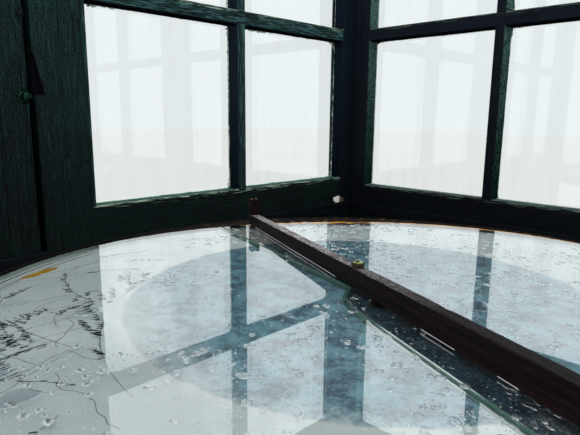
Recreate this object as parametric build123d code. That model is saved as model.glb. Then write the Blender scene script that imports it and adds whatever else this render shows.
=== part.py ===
from build123d import *
import os

# Corner of a fire lookout cab: a square timber floor, two glazed walls that meet at a corner
# post, and the round map table with its turning sighting bar.
# Millimetres, +Z up. The origin is the centre of the floor's underside.
# The west wall stands on the -X side and the north wall on the +Y side.

# Plan
post_depth = 80  # posts, plates and studs, from the inner face outwards
cladding = 20  # siding boards and casing outside the posts
deck_lip = 30  # deck past the cladding

# Floor
joist_height = 140
joist_width = 50
joist_inset = 10  # joists behind the deck's edge
cross_joist_count = 7
deck_thickness = 25

# Wall layout along each wall, from the corner
corner_stile = 50  # sash stile away from the mid post
lock_stile = 66  # sash stile beside the mid post
latch_stile = 125  # the same in the west wall's second sash, a broad board with the knob
muntin_width = 33
west_light_width = 453
north_light_width = 449
west_start = 0
north_start = 28  # the corner post covers this much of the north wall
mid_post_width = 60
end_post_width = 80  # on the wall that runs further
west_sash_gap = 15  # open joint between the mid post and the west wall's second sash
north_sash_gap = 3

# Wall heights above the deck
sill_height = 865
sash_height = 1161
muntin_rise = 576  # underside of the level muntin above the foot of the sash
level_muntin = 42
west_bottom_rail = 93
north_bottom_rail = 70
top_rail = 60
top_plate_height = 90
sole_height = 50
stud_width = 50

# Sashes and glass
sash_depth = 57
rebate_depth = 14  # from the outer face in to the glass ledge
rebate_width = 7
pane_thickness = 4
pane_play = 0.5  # gap between a pane's edge and its rebate
moulding = 4  # bevel round each light on the room side
stop_depth = 15
stop_width = 22

# Sill
sill_thickness = 35
sill_nose_in = 12
sill_nose_out = 22  # past the cladding
sill_fall = 9  # drop of the weathered slope

# Lower wall
lining_thickness = 15
lining_board = 90
lining_groove = 4
siding_exposure = 106
siding_thin = 7
siding_thick = 18

# Map table
table_to_west = 889  # centre of the table from the west wall's inner face
table_to_north = 1044
table_height = 960  # top of the cover glass above the deck
cover_glass = 6
glass_play = 1.5  # between the cover glass and the hoop
glass_gap = 2  # between the two halves of the cover glass
map_play = 1
map_thickness = 2
top_radius = 527
top_thickness = 30
hoop_lap = 5  # the hoop's rim over the edge of the top
hoop_skirt = 5
hoop_rise = 2  # above the cover glass
hoop_round = 2.5
bearer_width = 70
bearer_height = 60
bearer_reach = 400
column_side = 115
foot_reach = 380
foot_width = 90
foot_height = 70
foot_toe = 35  # height of the foot at its tip

# Sighting bar, seen from its pivot: far end first
bar_angle = 157.5
bar_end_gap = 30  # between the bar's ends and the hoop
bar_width = 17.5
bar_far_height = 21.5
bar_near_height = 35.5
bar_lift = 1.5  # above the cover glass
bar_bevel = 1.5
pin_radius = 5
pin_clearance = 0.08
pin_in_bar = 17.5
collar_radius = 8.5
collar_gap = 0.2
pin_hole_play = 1.5
sight_length = 20
sight_height = 31
sight_slot = 4
sight_slot_depth = 13
level_radius = 9
level_height = 7
level_place = 52
level_seat = 1.5

# The cut between the two halves of the cover glass, along and left of the bar
cut_far_angle = 8
cut_corner = 60
cut_notch = (28, 34)
cut_heel = (-17, 43)
cut_near_offset = 47

# Worked out from the sizes above


def wall_bays(start, light_width, gap):
    """Start and end of the two sashes of a wall, from the corner."""
    width = corner_stile + 2 * light_width + muntin_width + lock_stile
    second = start + width + mid_post_width + gap
    return [(start, start + width), (second, second + width)]


north_bays = wall_bays(north_start, north_light_width, north_sash_gap)
west_bays = wall_bays(west_start, west_light_width, west_sash_gap)
far_edge = max(north_bays[1][1], west_bays[1][1]) + end_post_width
outer_half = (far_edge + post_depth + cladding) / 2
room_half = outer_half - post_depth - cladding  # half the room, between inner wall faces
deck_half = outer_half + deck_lip
deck_top = joist_height + deck_thickness
sill_top = deck_top + sill_height
plate_bottom = sill_top + sash_height
wall_top = plate_bottom + top_plate_height
table_x = table_to_west - room_half
table_y = room_half - table_to_north
glass_top = deck_top + table_height
map_top = glass_top - cover_glass
top_top = map_top - map_thickness
top_bottom = top_top - top_thickness
hoop_outer = top_radius + hoop_skirt
hoop_inner = top_radius - hoop_lap
glass_radius = hoop_inner - glass_play
map_radius = hoop_inner - map_play
bar_half_length = hoop_inner - bar_end_gap

parts = {}


def block(x0, x1, y0, y1, z0, z1):
    """A box between two corners."""
    solid = Box(x1 - x0, y1 - y0, z1 - z0, align=(Align.MIN, Align.MIN, Align.MIN))
    return Pos(x0, y0, z0) * solid


def wall_block(u0, u1, d0, d1, z0, z1):
    """A box on the north wall: u from the corner, d outwards from the inner face."""
    return block(u0 - room_half, u1 - room_half, room_half + d0, room_half + d1, z0, z1)


def to_side(solid, side):
    """A piece drawn on the north wall, or its mirror image on the west wall."""
    if side == "west":
        return mirror(solid, about=Plane(origin=(0, 0, 0), z_dir=(1, 1, 0)))
    return solid


def group(solids):
    """Several separate solids as one piece."""
    return Compound(children=list(solids))


class Wall:
    """One glazed wall: its two sashes, and the two openings between its posts."""

    def __init__(self, side, sashes, second_stile, bottom_rail):
        self.side = side
        self.rail = bottom_rail
        self.sashes = sashes
        self.stiles = [(corner_stile, lock_stile), (second_stile, corner_stile)]
        second = sashes[0][1] + mid_post_width
        self.bays = [sashes[0], (second, sashes[1][1])]
        self.end = sashes[1][1]


walls = [
    Wall("north", north_bays, lock_stile, north_bottom_rail),
    Wall("west", west_bays, latch_stile, west_bottom_rail),
]


def light_boxes(wall, number):
    """Left, right, bottom and top of the four lights of the wall's first or second sash."""
    start, end = wall.sashes[number]
    left, right = wall.stiles[number]
    width = (end - start - left - right - muntin_width) / 2
    first = start + left
    second = first + width + muntin_width
    upper = sill_top + muntin_rise + level_muntin
    rows = [(sill_top + wall.rail, sill_top + muntin_rise)]
    rows.append((upper, plate_bottom - top_rail))
    return [(u, u + width, z0, z1) for z0, z1 in rows for u in (first, second)]


def sash(wall, number):
    """A four-light sash, rebated outside for the glass and bevelled inside."""
    start, end = wall.sashes[number]
    frame = wall_block(start, end, 0, sash_depth, sill_top, plate_bottom)
    ledge = sash_depth - rebate_depth
    for u0, u1, z0, z1 in light_boxes(wall, number):
        frame -= wall_block(u0, u1, -1, sash_depth + 1, z0, z1)
        w = rebate_width
        frame -= wall_block(u0 - w, u1 + w, ledge, sash_depth + 1, z0 - w, z1 + w)
    room_face = frame.faces().sort_by(Axis.Y)[0]
    edges = [edge for wire in room_face.inner_wires() for edge in wire.edges()]
    return chamfer(edges, length=moulding)


def panes(wall, number):
    """The four panes of a sash, each against its ledge."""
    ledge = sash_depth - rebate_depth
    w = rebate_width - pane_play
    return group(
        wall_block(u0 - w, u1 + w, ledge, ledge + pane_thickness, z0 - w, z1 + w)
        for u0, u1, z0, z1 in light_boxes(wall, number)
    )


def stop(start, end):
    """The bead round a bay that the sash closes against."""
    outer = sash_depth + stop_depth
    ring = wall_block(start, end, sash_depth, outer, sill_top, plate_bottom)
    w = stop_width
    return ring - wall_block(
        start + w, end - w, sash_depth - 1, outer + 1, sill_top + w, plate_bottom - w
    )


def swept_profile(points, start, end):
    """An outline in d and z, drawn out along the north wall."""
    outline = Polyline(*[(0, room_half + d, z) for d, z in points], close=True)
    face = Face(Wire(outline.edges()))
    solid = extrude(face, amount=end - start, dir=(1, 0, 0))
    return Pos(start - room_half, 0, 0) * solid


def sill(start, end):
    """A bay's sill: level under the sash, sloping away outside."""
    inner = -sill_nose_in
    outer = post_depth + cladding + sill_nose_out
    bottom = sill_top - sill_thickness
    level_end = sash_depth + stop_depth
    points = [(inner, bottom), (outer, bottom), (outer, sill_top - sill_fall)]
    points += [(level_end, sill_top), (inner, sill_top)]
    return swept_profile(points, start, end)


def lining(start, end):
    """Upright boards inside, below the sill, with a V groove at each joint."""
    low, high = deck_top, sill_top - sill_thickness
    sheet = wall_block(start, end, 0, lining_thickness, low, high)
    boards = max(1, round((end - start) / lining_board))
    pitch = (end - start) / boards
    for i in range(1, boards):
        joint = start + i * pitch - room_half
        cut = Rot(0, 0, 45) * Box(lining_groove, lining_groove, 2 * high)
        sheet -= Pos(joint, room_half, high) * cut
    return sheet


def siding(start, end):
    """Lapped boards outside, each thick at its foot and thin at its head."""
    low, high = deck_top, sill_top - sill_thickness
    courses = max(1, round((high - low) / siding_exposure))
    pitch = (high - low) / courses
    points = [(post_depth, low)]
    for i in range(courses):
        points.append((post_depth + siding_thick, low + i * pitch))
        points.append((post_depth + siding_thin, low + (i + 1) * pitch))
    points.append((post_depth, high))
    return swept_profile(points, start, end)


def studs(wall):
    """The hidden uprights of the lower wall, two in each bay."""
    low, high = deck_top + sole_height, sill_top - sill_thickness
    for start, end in wall.bays:
        for i in (1, 2):
            middle = start + i * (end - start) / 3
            half = stud_width / 2
            yield wall_block(middle - half, middle + half, lining_thickness, post_depth, low, high)


def casing(wall):
    """Outside boards over the posts and the top plate, flush with their edges."""
    inner, outer = post_depth, post_depth + cladding
    boards = []
    left = -outer if wall.side == "north" else -inner
    spans = [(left, wall.bays[0][0]), (wall.bays[0][1], wall.bays[1][0]), (wall.end, far_edge)]
    for u0, u1 in spans:
        boards.append(wall_block(u0, u1, inner, outer, deck_top, plate_bottom))
    frame = wall_block(left, far_edge, inner, outer, plate_bottom, wall_top)
    for board in boards:
        frame += board
    return frame


def floor():
    """Joists and deck."""
    edge = deck_half - joist_inset
    inside = edge - joist_width
    parts["outer_joists"] = group(
        block(min(s * inside, s * edge), max(s * inside, s * edge), -edge, edge, 0, joist_height)
        for s in (-1, 1)
    )
    pitch = 2 * (edge - joist_width / 2) / (cross_joist_count - 1)
    rows = [i * pitch - edge for i in range(cross_joist_count)]
    parts["cross_joists"] = group(
        block(-inside, inside, y, y + joist_width, 0, joist_height) for y in rows
    )
    deck = block(-deck_half, deck_half, -deck_half, deck_half, joist_height, deck_top)
    parts["floor_deck"] = deck


def wall_frame(wall):
    """Posts, plates, soles, studs, sills and boards of one wall."""
    side = wall.side
    (start_1, end_1), (start_2, end_2) = wall.bays
    middle = wall_block(end_1, start_2, 0, post_depth, deck_top, plate_bottom)
    end = wall_block(wall.end, far_edge, 0, post_depth, deck_top, plate_bottom)
    plate_start = -post_depth if side == "north" else 0
    plate = wall_block(plate_start, far_edge, 0, post_depth, plate_bottom, wall_top)
    parts[f"{side}_mid_post"] = to_side(middle, side)
    parts[f"{side}_end_post"] = to_side(end, side)
    parts[f"{side}_top_plate"] = to_side(plate, side)
    low = deck_top
    soles = [
        wall_block(u0, u1, lining_thickness, post_depth, low, low + sole_height)
        for u0, u1 in wall.bays
    ]
    parts[f"{side}_soles"] = to_side(group(soles), side)
    parts[f"{side}_studs"] = to_side(group(studs(wall)), side)
    parts[f"{side}_sills"] = to_side(group(sill(u0, u1) for u0, u1 in wall.bays), side)
    parts[f"{side}_lining"] = to_side(group(lining(u0, u1) for u0, u1 in wall.bays), side)
    parts[f"{side}_siding"] = to_side(group(siding(u0, u1) for u0, u1 in wall.bays), side)
    parts[f"{side}_stops"] = to_side(group(stop(u0, u1) for u0, u1 in wall.bays), side)
    parts[f"{side}_casing"] = to_side(casing(wall), side)
    for number in (0, 1):
        parts[f"{side}_sash_{number + 1}"] = to_side(sash(wall, number), side)
        parts[f"{side}_panes_{number + 1}"] = to_side(panes(wall, number), side)


def corner_post():
    """The post that both walls meet at."""
    x0 = -room_half - post_depth
    x1 = -room_half + north_start
    y1 = room_half + post_depth
    parts["corner_post"] = block(x0, x1, room_half, y1, deck_top, plate_bottom)


def ring_profile(points):
    """An outline in radius and height, turned about the table's centre."""
    outline = Polyline(*[(r, 0, z) for r, z in points], close=True)
    return revolve(Face(Wire(outline.edges())), axis=Axis.Z)


def at_table(solid):
    """From the table's centre to its place in the room."""
    return Pos(table_x, table_y, 0) * solid


def disc(radius, low, high):
    """A round plate about the table's centre."""
    solid = Cylinder(radius, high - low, align=(Align.CENTER, Align.CENTER, Align.MIN))
    return Pos(0, 0, low) * solid


def table_stand():
    """Crossed feet, column and crossed bearers."""
    low, high = deck_top, deck_top + foot_height
    points = [(-foot_reach, low), (foot_reach, low), (foot_reach, low + foot_toe)]
    points += [(column_side, high), (-column_side, high), (-foot_reach, low + foot_toe)]
    outline = Polyline(*[(x, 0, z) for x, z in points], close=True)
    foot = extrude(Face(Wire(outline.edges())), amount=foot_width / 2, both=True, dir=(0, 1, 0))
    parts["table_feet"] = at_table(foot + Rot(0, 0, 90) * foot)
    under = top_bottom - bearer_height
    half = column_side / 2
    column = block(-half, half, -half, half, high, under)
    column = chamfer(column.edges().filter_by(Axis.Z), length=column_side / 12)
    parts["table_column"] = at_table(column)
    b = bearer_width / 2
    bearer = block(-bearer_reach, bearer_reach, -b, b, under, top_bottom)
    tips = bearer.edges().filter_by(Axis.Y).group_by(Axis.Z)[0]
    bearer = chamfer(tips, length=bearer_height * 0.6)
    parts["table_bearers"] = at_table(bearer + Rot(0, 0, 90) * bearer)


def cut_region():
    """The part of the table that the left half of the cover glass lies on, along the bar."""
    reach = 2 * glass_radius
    along = Vector(1, 0, 0).rotate(Axis.Z, cut_far_angle)
    far = (reach * along.X, reach * along.Y)
    corner = (cut_corner * along.X, cut_corner * along.Y)
    near = (-reach, cut_near_offset)
    points = [far, corner, cut_notch, cut_heel, near, (-reach, reach), (reach, reach)]
    return make_face(Polyline(*points, close=True))


def table_top():
    """Top, map, hoop and the two halves of the cover glass."""
    parts["table_top"] = at_table(disc(top_radius, top_bottom, top_top))
    board = disc(map_radius, top_top, map_top)
    board -= disc(pin_radius + pin_clearance, top_top - 1, map_top + 1)
    parts["map_sheet"] = at_table(board)
    high = glass_top + hoop_rise
    r = hoop_round
    points = [(hoop_inner, top_top), (hoop_inner, high - r / 2), (hoop_inner + r, high)]
    points += [(hoop_outer - r, high), (hoop_outer, high - r), (hoop_outer, top_bottom)]
    points += [(top_radius, top_bottom), (top_radius, top_top)]
    parts["table_hoop"] = at_table(ring_profile(points))
    left_face = cut_region()
    glass = disc(glass_radius, map_top, glass_top)
    low = map_top - 1
    left_tool = Pos(0, 0, low) * extrude(left_face, amount=cover_glass + 2)
    wider = offset(left_face, amount=glass_gap, kind=Kind.INTERSECTION)
    wide_tool = Pos(0, 0, low) * extrude(wider, amount=cover_glass + 2)
    left = glass & left_tool
    right = glass - wide_tool
    right -= disc(collar_radius + pin_hole_play, map_top - 1, glass_top + 1)
    turn = Rot(0, 0, bar_angle)
    parts["cover_glass_left"] = at_table(turn * left)
    parts["cover_glass_right"] = at_table(turn * right)


def pivot():
    """The pin that the bar turns on, with a collar that carries the bar."""
    collar_top = glass_top + bar_lift - collar_gap
    pin = disc(collar_radius, map_top, collar_top)
    pin += disc(pin_radius, top_top, collar_top + pin_in_bar)
    parts["pivot_pin"] = at_table(pin)


def sighting_bar():
    """The tapered bar, bored for its pin, with a notched sight at each end."""
    low = glass_top + bar_lift
    reach = bar_half_length
    points = [(-reach, low), (reach, low), (reach, low + bar_far_height)]
    points.append((-reach, low + bar_near_height))
    outline = Polyline(*[(x, 0, z) for x, z in points], close=True)
    bar = extrude(Face(Wire(outline.edges())), amount=bar_width / 2, both=True, dir=(0, 1, 0))
    top = bar.faces().sort_by(Axis.Z)[-1]
    bar = chamfer([edge for edge in top.edges() if edge.length > reach], length=bar_bevel)
    bar -= disc(pin_radius + pin_clearance, low - 1, low + pin_in_bar + 1)
    slope = (bar_far_height - bar_near_height) / (2 * reach)
    tilt = Rot(0, Vector(0, 0, 1).get_signed_angle(Vector(slope, 0, 1), Vector(0, -1, 0)), 0)

    def bar_top(place):
        return low + bar_near_height + (place + reach) * slope

    def seated(solid, place):
        return Pos(place, 0, bar_top(place)) * tilt * solid

    def sight():
        bottom = (Align.CENTER, Align.CENTER, Align.MIN)
        body = Box(sight_length, bar_width, sight_height, align=bottom)
        slot = Box(2 * sight_length, sight_slot, sight_slot_depth, align=bottom)
        return body - Pos(0, 0, sight_height - sight_slot_depth) * slot

    turn = Rot(0, 0, bar_angle)
    seat = reach - sight_length / 2
    parts["front_sight"] = at_table(turn * seated(sight(), seat))
    parts["rear_sight"] = at_table(turn * seated(sight(), -seat))
    level = Cylinder(level_radius, level_height, align=(Align.CENTER, Align.CENTER, Align.MIN))
    rim = level.edges().filter_by(GeomType.CIRCLE).sort_by(Axis.Z)[-1]
    level = chamfer(rim, length=level_seat)
    parts["round_level"] = at_table(turn * seated(level, level_place))
    parts["sighting_bar"] = at_table(turn * bar)


floor()
corner_post()
for wall in walls:
    wall_frame(wall)
table_stand()
table_top()
pivot()
sighting_bar()

os.makedirs("parts", exist_ok=True)
for name, solid in parts.items():
    export_step(solid, f"parts/{name}.step")
print(len(parts), "pieces")
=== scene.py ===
import bpy
import math
import random
from mathutils import Matrix, Quaternion, Vector, noise


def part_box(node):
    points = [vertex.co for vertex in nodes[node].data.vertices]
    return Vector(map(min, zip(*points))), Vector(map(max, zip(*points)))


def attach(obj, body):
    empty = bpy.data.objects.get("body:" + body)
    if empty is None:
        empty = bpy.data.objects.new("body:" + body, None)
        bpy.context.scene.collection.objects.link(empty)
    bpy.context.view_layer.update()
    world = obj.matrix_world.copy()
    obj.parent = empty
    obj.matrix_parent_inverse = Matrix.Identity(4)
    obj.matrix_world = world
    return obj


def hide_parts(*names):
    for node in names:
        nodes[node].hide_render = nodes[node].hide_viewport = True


# Corner of a fire lookout cab with its map table. Metres, +Z up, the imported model's own frame.
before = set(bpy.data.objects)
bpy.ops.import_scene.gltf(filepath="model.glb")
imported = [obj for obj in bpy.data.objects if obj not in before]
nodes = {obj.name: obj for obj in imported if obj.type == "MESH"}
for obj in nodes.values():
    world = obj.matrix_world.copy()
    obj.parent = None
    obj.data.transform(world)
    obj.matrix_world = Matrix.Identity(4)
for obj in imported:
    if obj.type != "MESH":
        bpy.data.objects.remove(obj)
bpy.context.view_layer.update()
print("frame loaded:", len(nodes), "nodes")

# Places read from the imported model
room = {
    "west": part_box("west_sash_1")[1][0],
    "north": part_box("north_sash_1")[0][1],
    "deck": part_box("floor_deck")[1][2],
    "sashFoot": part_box("west_sash_1")[0][2],
    "sashHead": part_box("west_sash_1")[1][2],
    "glassTop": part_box("cover_glass_left")[1][2],
    "mapTop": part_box("map_sheet")[1][2],
    "boardTop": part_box("table_top")[1][2],
}
boardLow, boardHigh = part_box("table_top")
pivot = Vector(((boardLow[0] + boardHigh[0]) / 2, (boardLow[1] + boardHigh[1]) / 2, 0))
boardRadius = (boardHigh[0] - boardLow[0]) / 2
barTurn = math.radians(157.5)

# The two glazed walls: where each sash starts from the corner, and the widths inside it
windows = {
    "west": {"starts": (0.0, 1.130), "width": 1.055, "latchStile": 0.125, "bottomRail": 0.093},
    "north": {"starts": (0.028, 1.138), "width": 1.047, "latchStile": 0.066, "bottomRail": 0.070},
}
sashSizes = {
    "cornerStile": 0.050,
    "lockStile": 0.066,
    "muntin": 0.033,
    "levelFoot": 0.576,
    "levelMuntin": 0.042,
    "topRail": 0.060,
    "glassDepth": 0.043,
}


def onWall(side, run, depth, height):  # run from the corner, depth out from the inner face
    if side == "west":
        return Vector((room["west"] - depth, room["north"] - run, height))
    return Vector((room["west"] + run, room["north"] + depth, height))


def onTable(along, across, height):  # along the bar from the pivot, left of it, over the glass
    turned = Matrix.Rotation(barTurn, 3, "Z") @ Vector((along, across, 0))
    return Vector((pivot.x + turned.x, pivot.y + turned.y, room["glassTop"] + height))


def stilesOf(side, number):  # widths of a sash's upright sides, the corner's first
    if number == 0:
        return sashSizes["cornerStile"], sashSizes["lockStile"]
    return windows[side]["latchStile"], sashSizes["cornerStile"]


def lightsOf(side, number):  # low and high run, low and high z of the four lights of a sash
    sizes = windows[side]
    left, right = stilesOf(side, number)
    wide = (sizes["width"] - left - right - sashSizes["muntin"]) / 2
    first = sizes["starts"][number] + left
    second = first + wide + sashSizes["muntin"]
    middle = room["sashFoot"] + sashSizes["levelFoot"]
    rows = [(room["sashFoot"] + sizes["bottomRail"], middle)]
    rows.append((middle + sashSizes["levelMuntin"], room["sashHead"] - sashSizes["topRail"]))
    return [(u, u + wide, low, high) for low, high in rows for u in (first, second)]


# Camera
view = {
    "place": (0.1661, -0.4770, 1.350),
    "heading": 45,
    "tilt": 78.93,
    "roll": 0.565,
    "lens": 32.59,
    "sensor": 36,
}


def makeCamera():
    turn = Quaternion((0, 0, 1), math.radians(view["heading"]))
    turn = turn @ Quaternion((1, 0, 0), math.radians(view["tilt"]))
    turn = turn @ Quaternion((0, 0, 1), math.radians(view["roll"]))
    bpy.ops.object.camera_add(location=view["place"], rotation=turn.to_euler())
    camera = bpy.context.object
    camera.data.lens = view["lens"]
    camera.data.sensor_width = view["sensor"]
    camera.data.clip_start = 0.02
    bpy.context.scene.camera = camera


# Stage and light
stage = {
    "floorSize": 80,
    "floorTop": -0.0005,
    "floorColour": (236, 237, 236),
    "backdrop": (246, 249, 252),
    "seenBy": ("Camera", "Glossy", "Transmission"),
    "fill": 0.7,
    "sunStrength": 1.5,
    "sunSize": 70,
    "sunTurn": (38, 0, 62),
}


def screen(colour):  # a colour as a screen shows it, made linear
    values = [channel / 255 for channel in colour]
    return tuple(v / 12.92 if v <= 0.04045 else ((v + 0.055) / 1.055) ** 2.4 for v in values) + (1,)


# Small building blocks for the materials
bench = {}  # the node tree in work, and its own shader


class Signal:  # one output of a node; arithmetic on it adds nodes
    def __init__(self, socket):
        self.socket = socket

    def __add__(self, other):
        return calculate("ADD", self, other)

    def __sub__(self, other):
        return calculate("SUBTRACT", self, other)

    def __rsub__(self, other):
        return calculate("SUBTRACT", other, self)

    def __mul__(self, other):
        return calculate("MULTIPLY", self, other)

    def __truediv__(self, other):
        return calculate("DIVIDE", self, other)

    def __pow__(self, power):
        return calculate("POWER", self, power)

    def __abs__(self):
        return calculate("ABSOLUTE", self)

    def part(self, axis):
        return signal("SeparateXYZ", {0: self}, out=axis)

    x = property(lambda self: self.part("X"))
    y = property(lambda self: self.part("Y"))
    z = property(lambda self: self.part("Z"))


def connect(value, socket):  # a signal, a number, or a colour as a screen shows it
    if isinstance(value, Signal):
        bench["tree"].links.new(value.socket, socket)
    elif socket.type != "RGBA":
        socket.default_value = value
    elif isinstance(value, (int, float)):
        socket.default_value = (value, value, value, 1)
    else:
        socket.default_value = value if len(value) == 4 else screen(value)


def addNode(kind, inputs=None, **settings):
    made = bench["tree"].nodes.new("ShaderNode" + kind)
    for key, value in settings.items():
        setattr(made, key, value)
    for key, value in (inputs or {}).items():
        connect(value, made.inputs[key])
    return made


def signal(kind, inputs=None, out=0, **settings):
    return Signal(addNode(kind, inputs, **settings).outputs[out])


def calculate(kind, first, second=0.0):
    return signal("Math", {0: first, 1: second}, operation=kind)


def larger(first, second):
    return calculate("MAXIMUM", first, second)


def above(first, second):  # 1 where the first is greater
    return calculate("GREATER_THAN", first, second)


def below(first, second):
    return calculate("LESS_THAN", first, second)


def between(value, low, high, least=0.0, most=1.0):  # least at low, most at high
    inputs = {"Value": value, "From Min": low, "From Max": high, "To Min": least, "To Max": most}
    return signal("MapRange", inputs, clamp=True)


def blend(amount, first, second, mode="MIX"):
    return signal("Mix", {0: amount, 6: first, 7: second}, out=2, data_type="RGBA", blend_type=mode)


def mixShaders(amount, first, second):
    return signal("MixShader", {0: amount, 1: first, 2: second})


def ramp(value, stops, hard=False):
    made = addNode("ValToRGB", {"Fac": value})
    band = made.color_ramp
    band.interpolation = "CONSTANT" if hard else "LINEAR"
    while len(band.elements) < len(stops):
        band.elements.new(1.0)
    for element, (place, level) in zip(band.elements, stops):
        element.position = place
        element.color = (level, level, level, 1)
    return Signal(made.outputs["Color"])


def newMaterial(name):  # from here on the bench works on this one
    material = bpy.data.materials.new(name)
    material.use_nodes = True
    bench["tree"] = material.node_tree
    bench["shader"] = material.node_tree.nodes["Principled BSDF"]
    return material


def fill(values):  # inputs of the material's own shader
    for key, value in values.items():
        connect(value, bench["shader"].inputs[key])


def showSurface(surface):  # in place of the material's own shader
    connect(surface, bench["tree"].nodes["Material Output"].inputs["Surface"])


def objectPlace():
    return signal("TexCoord", out="Object")


def objectNormal():
    return signal("TexCoord", out="Normal")


def stretched(place, scale, turn=(0, 0, 0), shift=(0, 0, 0)):
    return signal("Mapping", {"Vector": place, "Scale": scale, "Rotation": turn, "Location": shift})


def flatFrom(place, x, y):  # a place in plan, from a point
    return stretched(place, (1, 1, 0), shift=(-x, -y, 0))


def rotated(place, angle):
    return stretched(place, (1, 1, 1), turn=(0, 0, angle))


def vectorMath(kind, first, second=(0, 0, 0), out="Value"):
    return signal("VectorMath", {0: first, 1: second}, out=out, operation=kind)


def cloud(place, scale, detail=4, rough=0.55, warp=0.0, out="Fac"):
    inputs = {"Vector": place, "Scale": scale, "Detail": detail}
    inputs.update({"Roughness": rough, "Distortion": warp})
    return signal("TexNoise", inputs, out=out)


def relief(height, depth, strength):
    return signal("Bump", {"Height": height, "Distance": depth, "Strength": strength})


def makeStage():
    scene = bpy.context.scene
    scene.view_settings.view_transform = "Standard"
    sky = bpy.data.worlds.new("sky")
    scene.world = sky
    sky.use_nodes = True
    bench["tree"] = sky.node_tree
    sky.node_tree.nodes.clear()
    camera, glossy, through = (signal("LightPath", out=f"Is {ray} Ray") for ray in stage["seenBy"])
    lit = signal("Background", {"Color": 1, "Strength": stage["fill"]})
    shown = signal("Background", {"Color": stage["backdrop"], "Strength": 1})
    both = mixShaders(larger(larger(camera, glossy), through), lit, shown)
    addNode("OutputWorld", {"Surface": both})
    bpy.ops.object.select_all(action="DESELECT")
    bpy.ops.mesh.primitive_plane_add(size=stage["floorSize"], location=(0, 0, stage["floorTop"]))
    floor = bpy.context.object
    floor.name = "studio_floor"
    floor.data.materials.append(newMaterial("studioFloor"))
    fill({"Base Color": stage["floorColour"], "Roughness": 0.9})
    turn = [math.radians(angle) for angle in stage["sunTurn"]]
    bpy.ops.object.light_add(type="SUN", location=(2, -2, 4), rotation=turn)
    sun = bpy.context.object
    sun.data.energy = stage["sunStrength"]
    sun.data.angle = math.radians(stage["sunSize"])


makeCamera()
makeStage()
print("camera, floor and light made")


# Patterns that several materials share
def wornEdges(reach):  # 1 at a sharp edge, 0 on the flat
    soft = signal("Bevel", {"Radius": reach}, samples=6)
    flat = signal("NewGeometry", out="Normal")
    alike = vectorMath("DOT_PRODUCT", soft, flat)
    return between(alike, 0.995, 0.90)


def grainPlace(direction, place):  # the pattern is drawn out along the grain
    long = 0.05
    scales = {"up": (1, 1, long), "x": (long, 1, 1), "y": (1, long, 1)}
    return stretched(place, scales[direction])


def betweenStiles(side, place):  # 1 where a wall's lights and level members are, 0 on its stiles
    sizes = windows[side]
    span = 2.3
    stops = [(0.0, 0.0)]
    for number in (0, 1):
        left, right = stilesOf(side, number)
        start = sizes["starts"][number] + left
        end = sizes["starts"][number] + sizes["width"] - right
        stops += [(start / span, 1.0), (end / span, 0.0)]
    if side == "west":
        run = between(place.y, room["north"], room["north"] - span)
    else:
        run = between(place.x, room["west"], room["west"] + span)
    return ramp(run, stops, hard=True)


def railMask(side, place):  # 1 on a sash's level members, 0 on its upright ones
    sizes = windows[side]
    foot, head = room["sashFoot"], room["sashHead"]
    tall = head - foot
    level = sashSizes["levelFoot"] / tall
    stops = [(0.0, 1.0), (sizes["bottomRail"] / tall, 0.0), (level, 1.0)]
    stops.append((level + sashSizes["levelMuntin"] / tall, 0.0))
    stops.append((1 - sashSizes["topRail"] / tall, 1.0))
    high = between(place.z, foot, head)
    rows = ramp(high, stops, hard=True)
    return rows * betweenStiles(side, place)


# Old dark green paint over timber
greenPaint = {
    "colour": (14, 38, 38),
    "deep": (6, 14, 21),
    "faded": (44, 84, 76),
    "gap": (6, 5, 10),
    # reveal and under: painted tones for jambs and undersides, standing for how light falls on them
    "reveal": (27, 33, 44),
    "under": (9, 7, 14),
    "wood": (96, 112, 98),
    "line": (150, 172, 152),
    "ledge": ((10, 34, 32), (20, 128, 90), (166, 192, 172)),
    "streak": (66, 104, 106),
    "roughness": (0.48, 0.72),
}
# painted shade: a darker, bluer copy of the green paint, used on the north wall's sashes, the
# corner post and the sills
shadePaint = dict(greenPaint)
shadePaint.update({
    "colour": (13, 20, 33),
    "deep": (7, 11, 22),
    "faded": (26, 46, 52),
    "ledge": ((12, 24, 28), (142, 164, 158), (96, 122, 114)),
    "jamb": ((6, 31, 28), (82, 113, 108)),
})
arris = {"below": 0.014, "above": -0.0035}  # the rail's worn top edge under each light
lowShade = {"low": 1.08, "high": 1.58, "dark": 0.34, "clear": 1.05}  # painted shade: darker towards the sill
cracks = (
    {"middle": 1.4100, "half": 0.170, "run": 1.0573, "bow": 0.13, "width": 0.0030},
    {"middle": 1.5300, "half": 0.050, "run": 1.0200, "bow": -0.30, "width": 0.0022},
)  # long open cracks down the latch board of the west wall


def grainPattern(direction, place):  # fine fibres, and the long checks that open along them
    along = grainPlace(direction, place)
    fibre = cloud(along, 420, detail=5, rough=0.65, warp=0.4)
    bent = blend(0.012, along, cloud(place, 9, detail=2, rough=0.5, out="Color"))
    inputs = {"Vector": bent, "Scale": 46}
    cell = signal("TexVoronoi", inputs, out="Distance", feature="DISTANCE_TO_EDGE")
    check = between(cell, 0.035, 0.0)
    patch = between(cloud(along, 14, detail=2), 0.46, 0.62)
    return fibre, check * patch


def arrisMask(side, place):  # 1 on the worn edge under each row of lights
    foot, head = room["sashFoot"], room["sashHead"]
    tall = head - foot
    stops = [(0.0, 0.0)]
    for low in (windows[side]["bottomRail"], sashSizes["levelFoot"] + sashSizes["levelMuntin"]):
        stops += [((low - arris["below"]) / tall, 1.0), ((low + arris["above"]) / tall, 0.0)]
    high = between(place.z, foot, head)
    return ramp(high, stops, hard=True) * betweenStiles(side, place)


def lowShadeTone(place, colour):
    # painted shade: the colour is darkened towards the sill
    tone = between(place.z, lowShade["low"], lowShade["high"], lowShade["dark"], lowShade["clear"])
    return blend(1.0, colour, tone, mode="MULTIPLY")


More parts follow.
